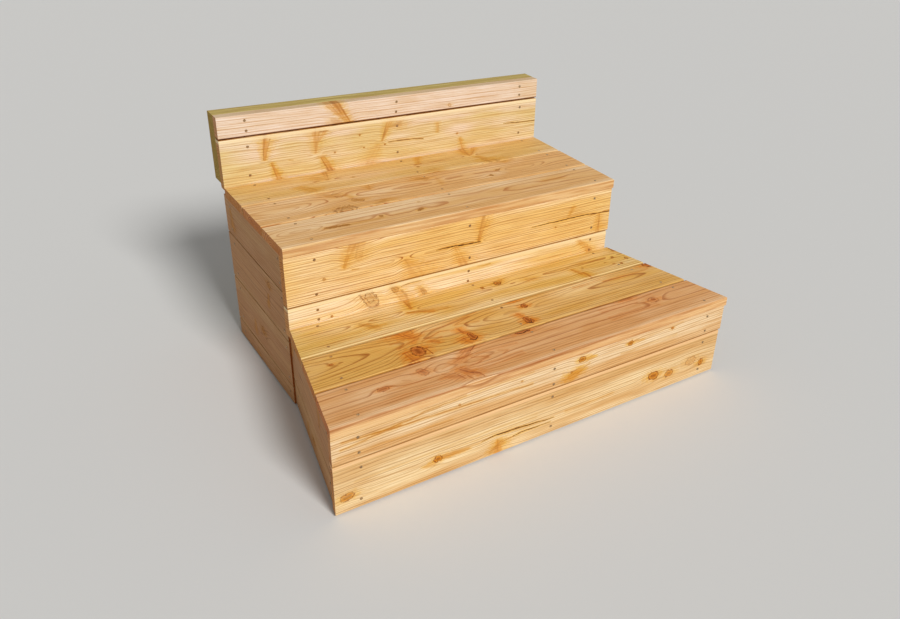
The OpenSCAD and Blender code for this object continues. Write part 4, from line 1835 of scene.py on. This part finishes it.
@dataclass
class Studio:
    """The pale floor, the soft light and the camera.

    Attributes:
        floor_size: Length of the floor's sides in metres.
        key_strength: Strength of the key light.
        key_spread: How wide the key light is seen, in radians.
        key_heading: Where the key light comes from, in degrees from the front towards the right.
        key_height: Its angle above the floor, in degrees.
        sky_strength: Strength of the light from all round.
        backdrop: The colour behind everything.
        camera_place: The camera's place.
        heading: The way the camera looks, in degrees from +Y towards +X.
        pitch: How far it looks down, in degrees.
        roll: How far its right side is turned up, in degrees.
        focal_px: The focal length in pixels of the picture.
        centre_px: The way from the picture's middle to the optical axis, right and down, in pixels.
    """

    floor_size: float = 60.0
    key_strength: float = 2.53
    key_spread: float = 0.3
    key_heading: float = 4.0
    key_height: float = 38.0
    sky_strength: float = 0.26
    backdrop: Colour = tint(232, 231, 228)
    camera_place: tuple[float, float, float] = (-1.177, -1.9503, 1.4697)
    heading: float = 37.82
    pitch: float = 29.84
    roll: float = 4.43
    focal_px: float = 859.4
    centre_px: Pair = (100.3, 1.1)

    def build(self) -> None:
        """Sets up the whole studio."""
        self._lay_floor()
        self._light()
        self._set_camera()
        log.info("studio ready")

    def _lay_floor(self) -> None:
        """Lays the floor at the height on which the stair stands."""
        half = self.floor_size / 2
        corners = [(-half, -half, 0.0), (half, -half, 0.0), (half, half, 0.0), (-half, half, 0.0)]
        mesh = bpy.data.meshes.new("floor")
        mesh.from_pydata(corners, [], [(0, 1, 2, 3)])
        mesh.materials.append(FloorFinish().material())
        add_object("floor", mesh)

    def _light(self) -> None:
        """Hangs the key light and sets the light from all round."""
        key = bpy.data.lights.new("key", "SUN")
        key.energy = self.key_strength
        key.angle = self.key_spread
        heading, height = math.radians(self.key_heading), math.radians(self.key_height)
        towards = Vector((
            math.sin(heading) * math.cos(height), -math.cos(heading) * math.cos(height), math.sin(height)
        ))
        add_object("key", key).rotation_euler = towards.to_track_quat("Z", "Y").to_euler()
        world = bpy.data.worlds.new("soft_room")
        bpy.context.scene.world = world
        world.use_nodes = True
        wiring = Wiring(world.node_tree)
        white = {"Color": (1.0, 1.0, 1.0, 1.0), "Strength": self.sky_strength}
        light = wiring.get("ShaderNodeBackground", 0, white)
        seen = wiring.get("ShaderNodeBackground", 0, {"Color": self.backdrop})
        path = wiring.add("ShaderNodeLightPath").outputs
        camera, glossy, through = (
            Wire(wiring, path[f"Is {kind} Ray"]) for kind in ("Camera", "Glossy", "Transmission")
        )
        direct = camera.at_least(glossy).at_least(through)
        mixed = wiring.get("ShaderNodeMixShader", 0, {0: direct, 1: light, 2: seen})
        wiring.add("ShaderNodeOutputWorld", {"Surface": mixed})

    def _set_camera(self) -> None:
        """Sets the camera where the photograph was taken from."""
        data = bpy.data.cameras.new("photo_view")
        data.sensor_width = SENSOR_MM
        data.lens = self.focal_px * SENSOR_MM / PHOTO_WIDTH_PX
        data.shift_x = -self.centre_px[0] / PHOTO_WIDTH_PX
        data.shift_y = self.centre_px[1] / PHOTO_WIDTH_PX
        camera = add_object("photo_view", data)
        turn = (
            Matrix.Rotation(-math.radians(self.heading), 4, "Z")
            @ Matrix.Rotation(math.radians(90.0 - self.pitch), 4, "X")
            @ Matrix.Rotation(math.radians(self.roll), 4, "Z")
        )
        camera.matrix_world = Matrix.Translation(self.camera_place) @ turn
        bpy.context.scene.camera = camera


def main() -> None:
    """Builds the stair's looks in order and sets up the studio."""
    logging.basicConfig(level=logging.INFO, format="%(name)s: %(message)s")
    bpy.context.scene.view_settings.view_transform = "Standard"
    shop = WoodShop()
    driver = ScrewDriver()
    for section in (TopRiser(), UpperStep(), LowerStep(), TimberFrame()):
        section.build(shop, driver)
    Studio().build()


if __name__ == "__main__":
    main()
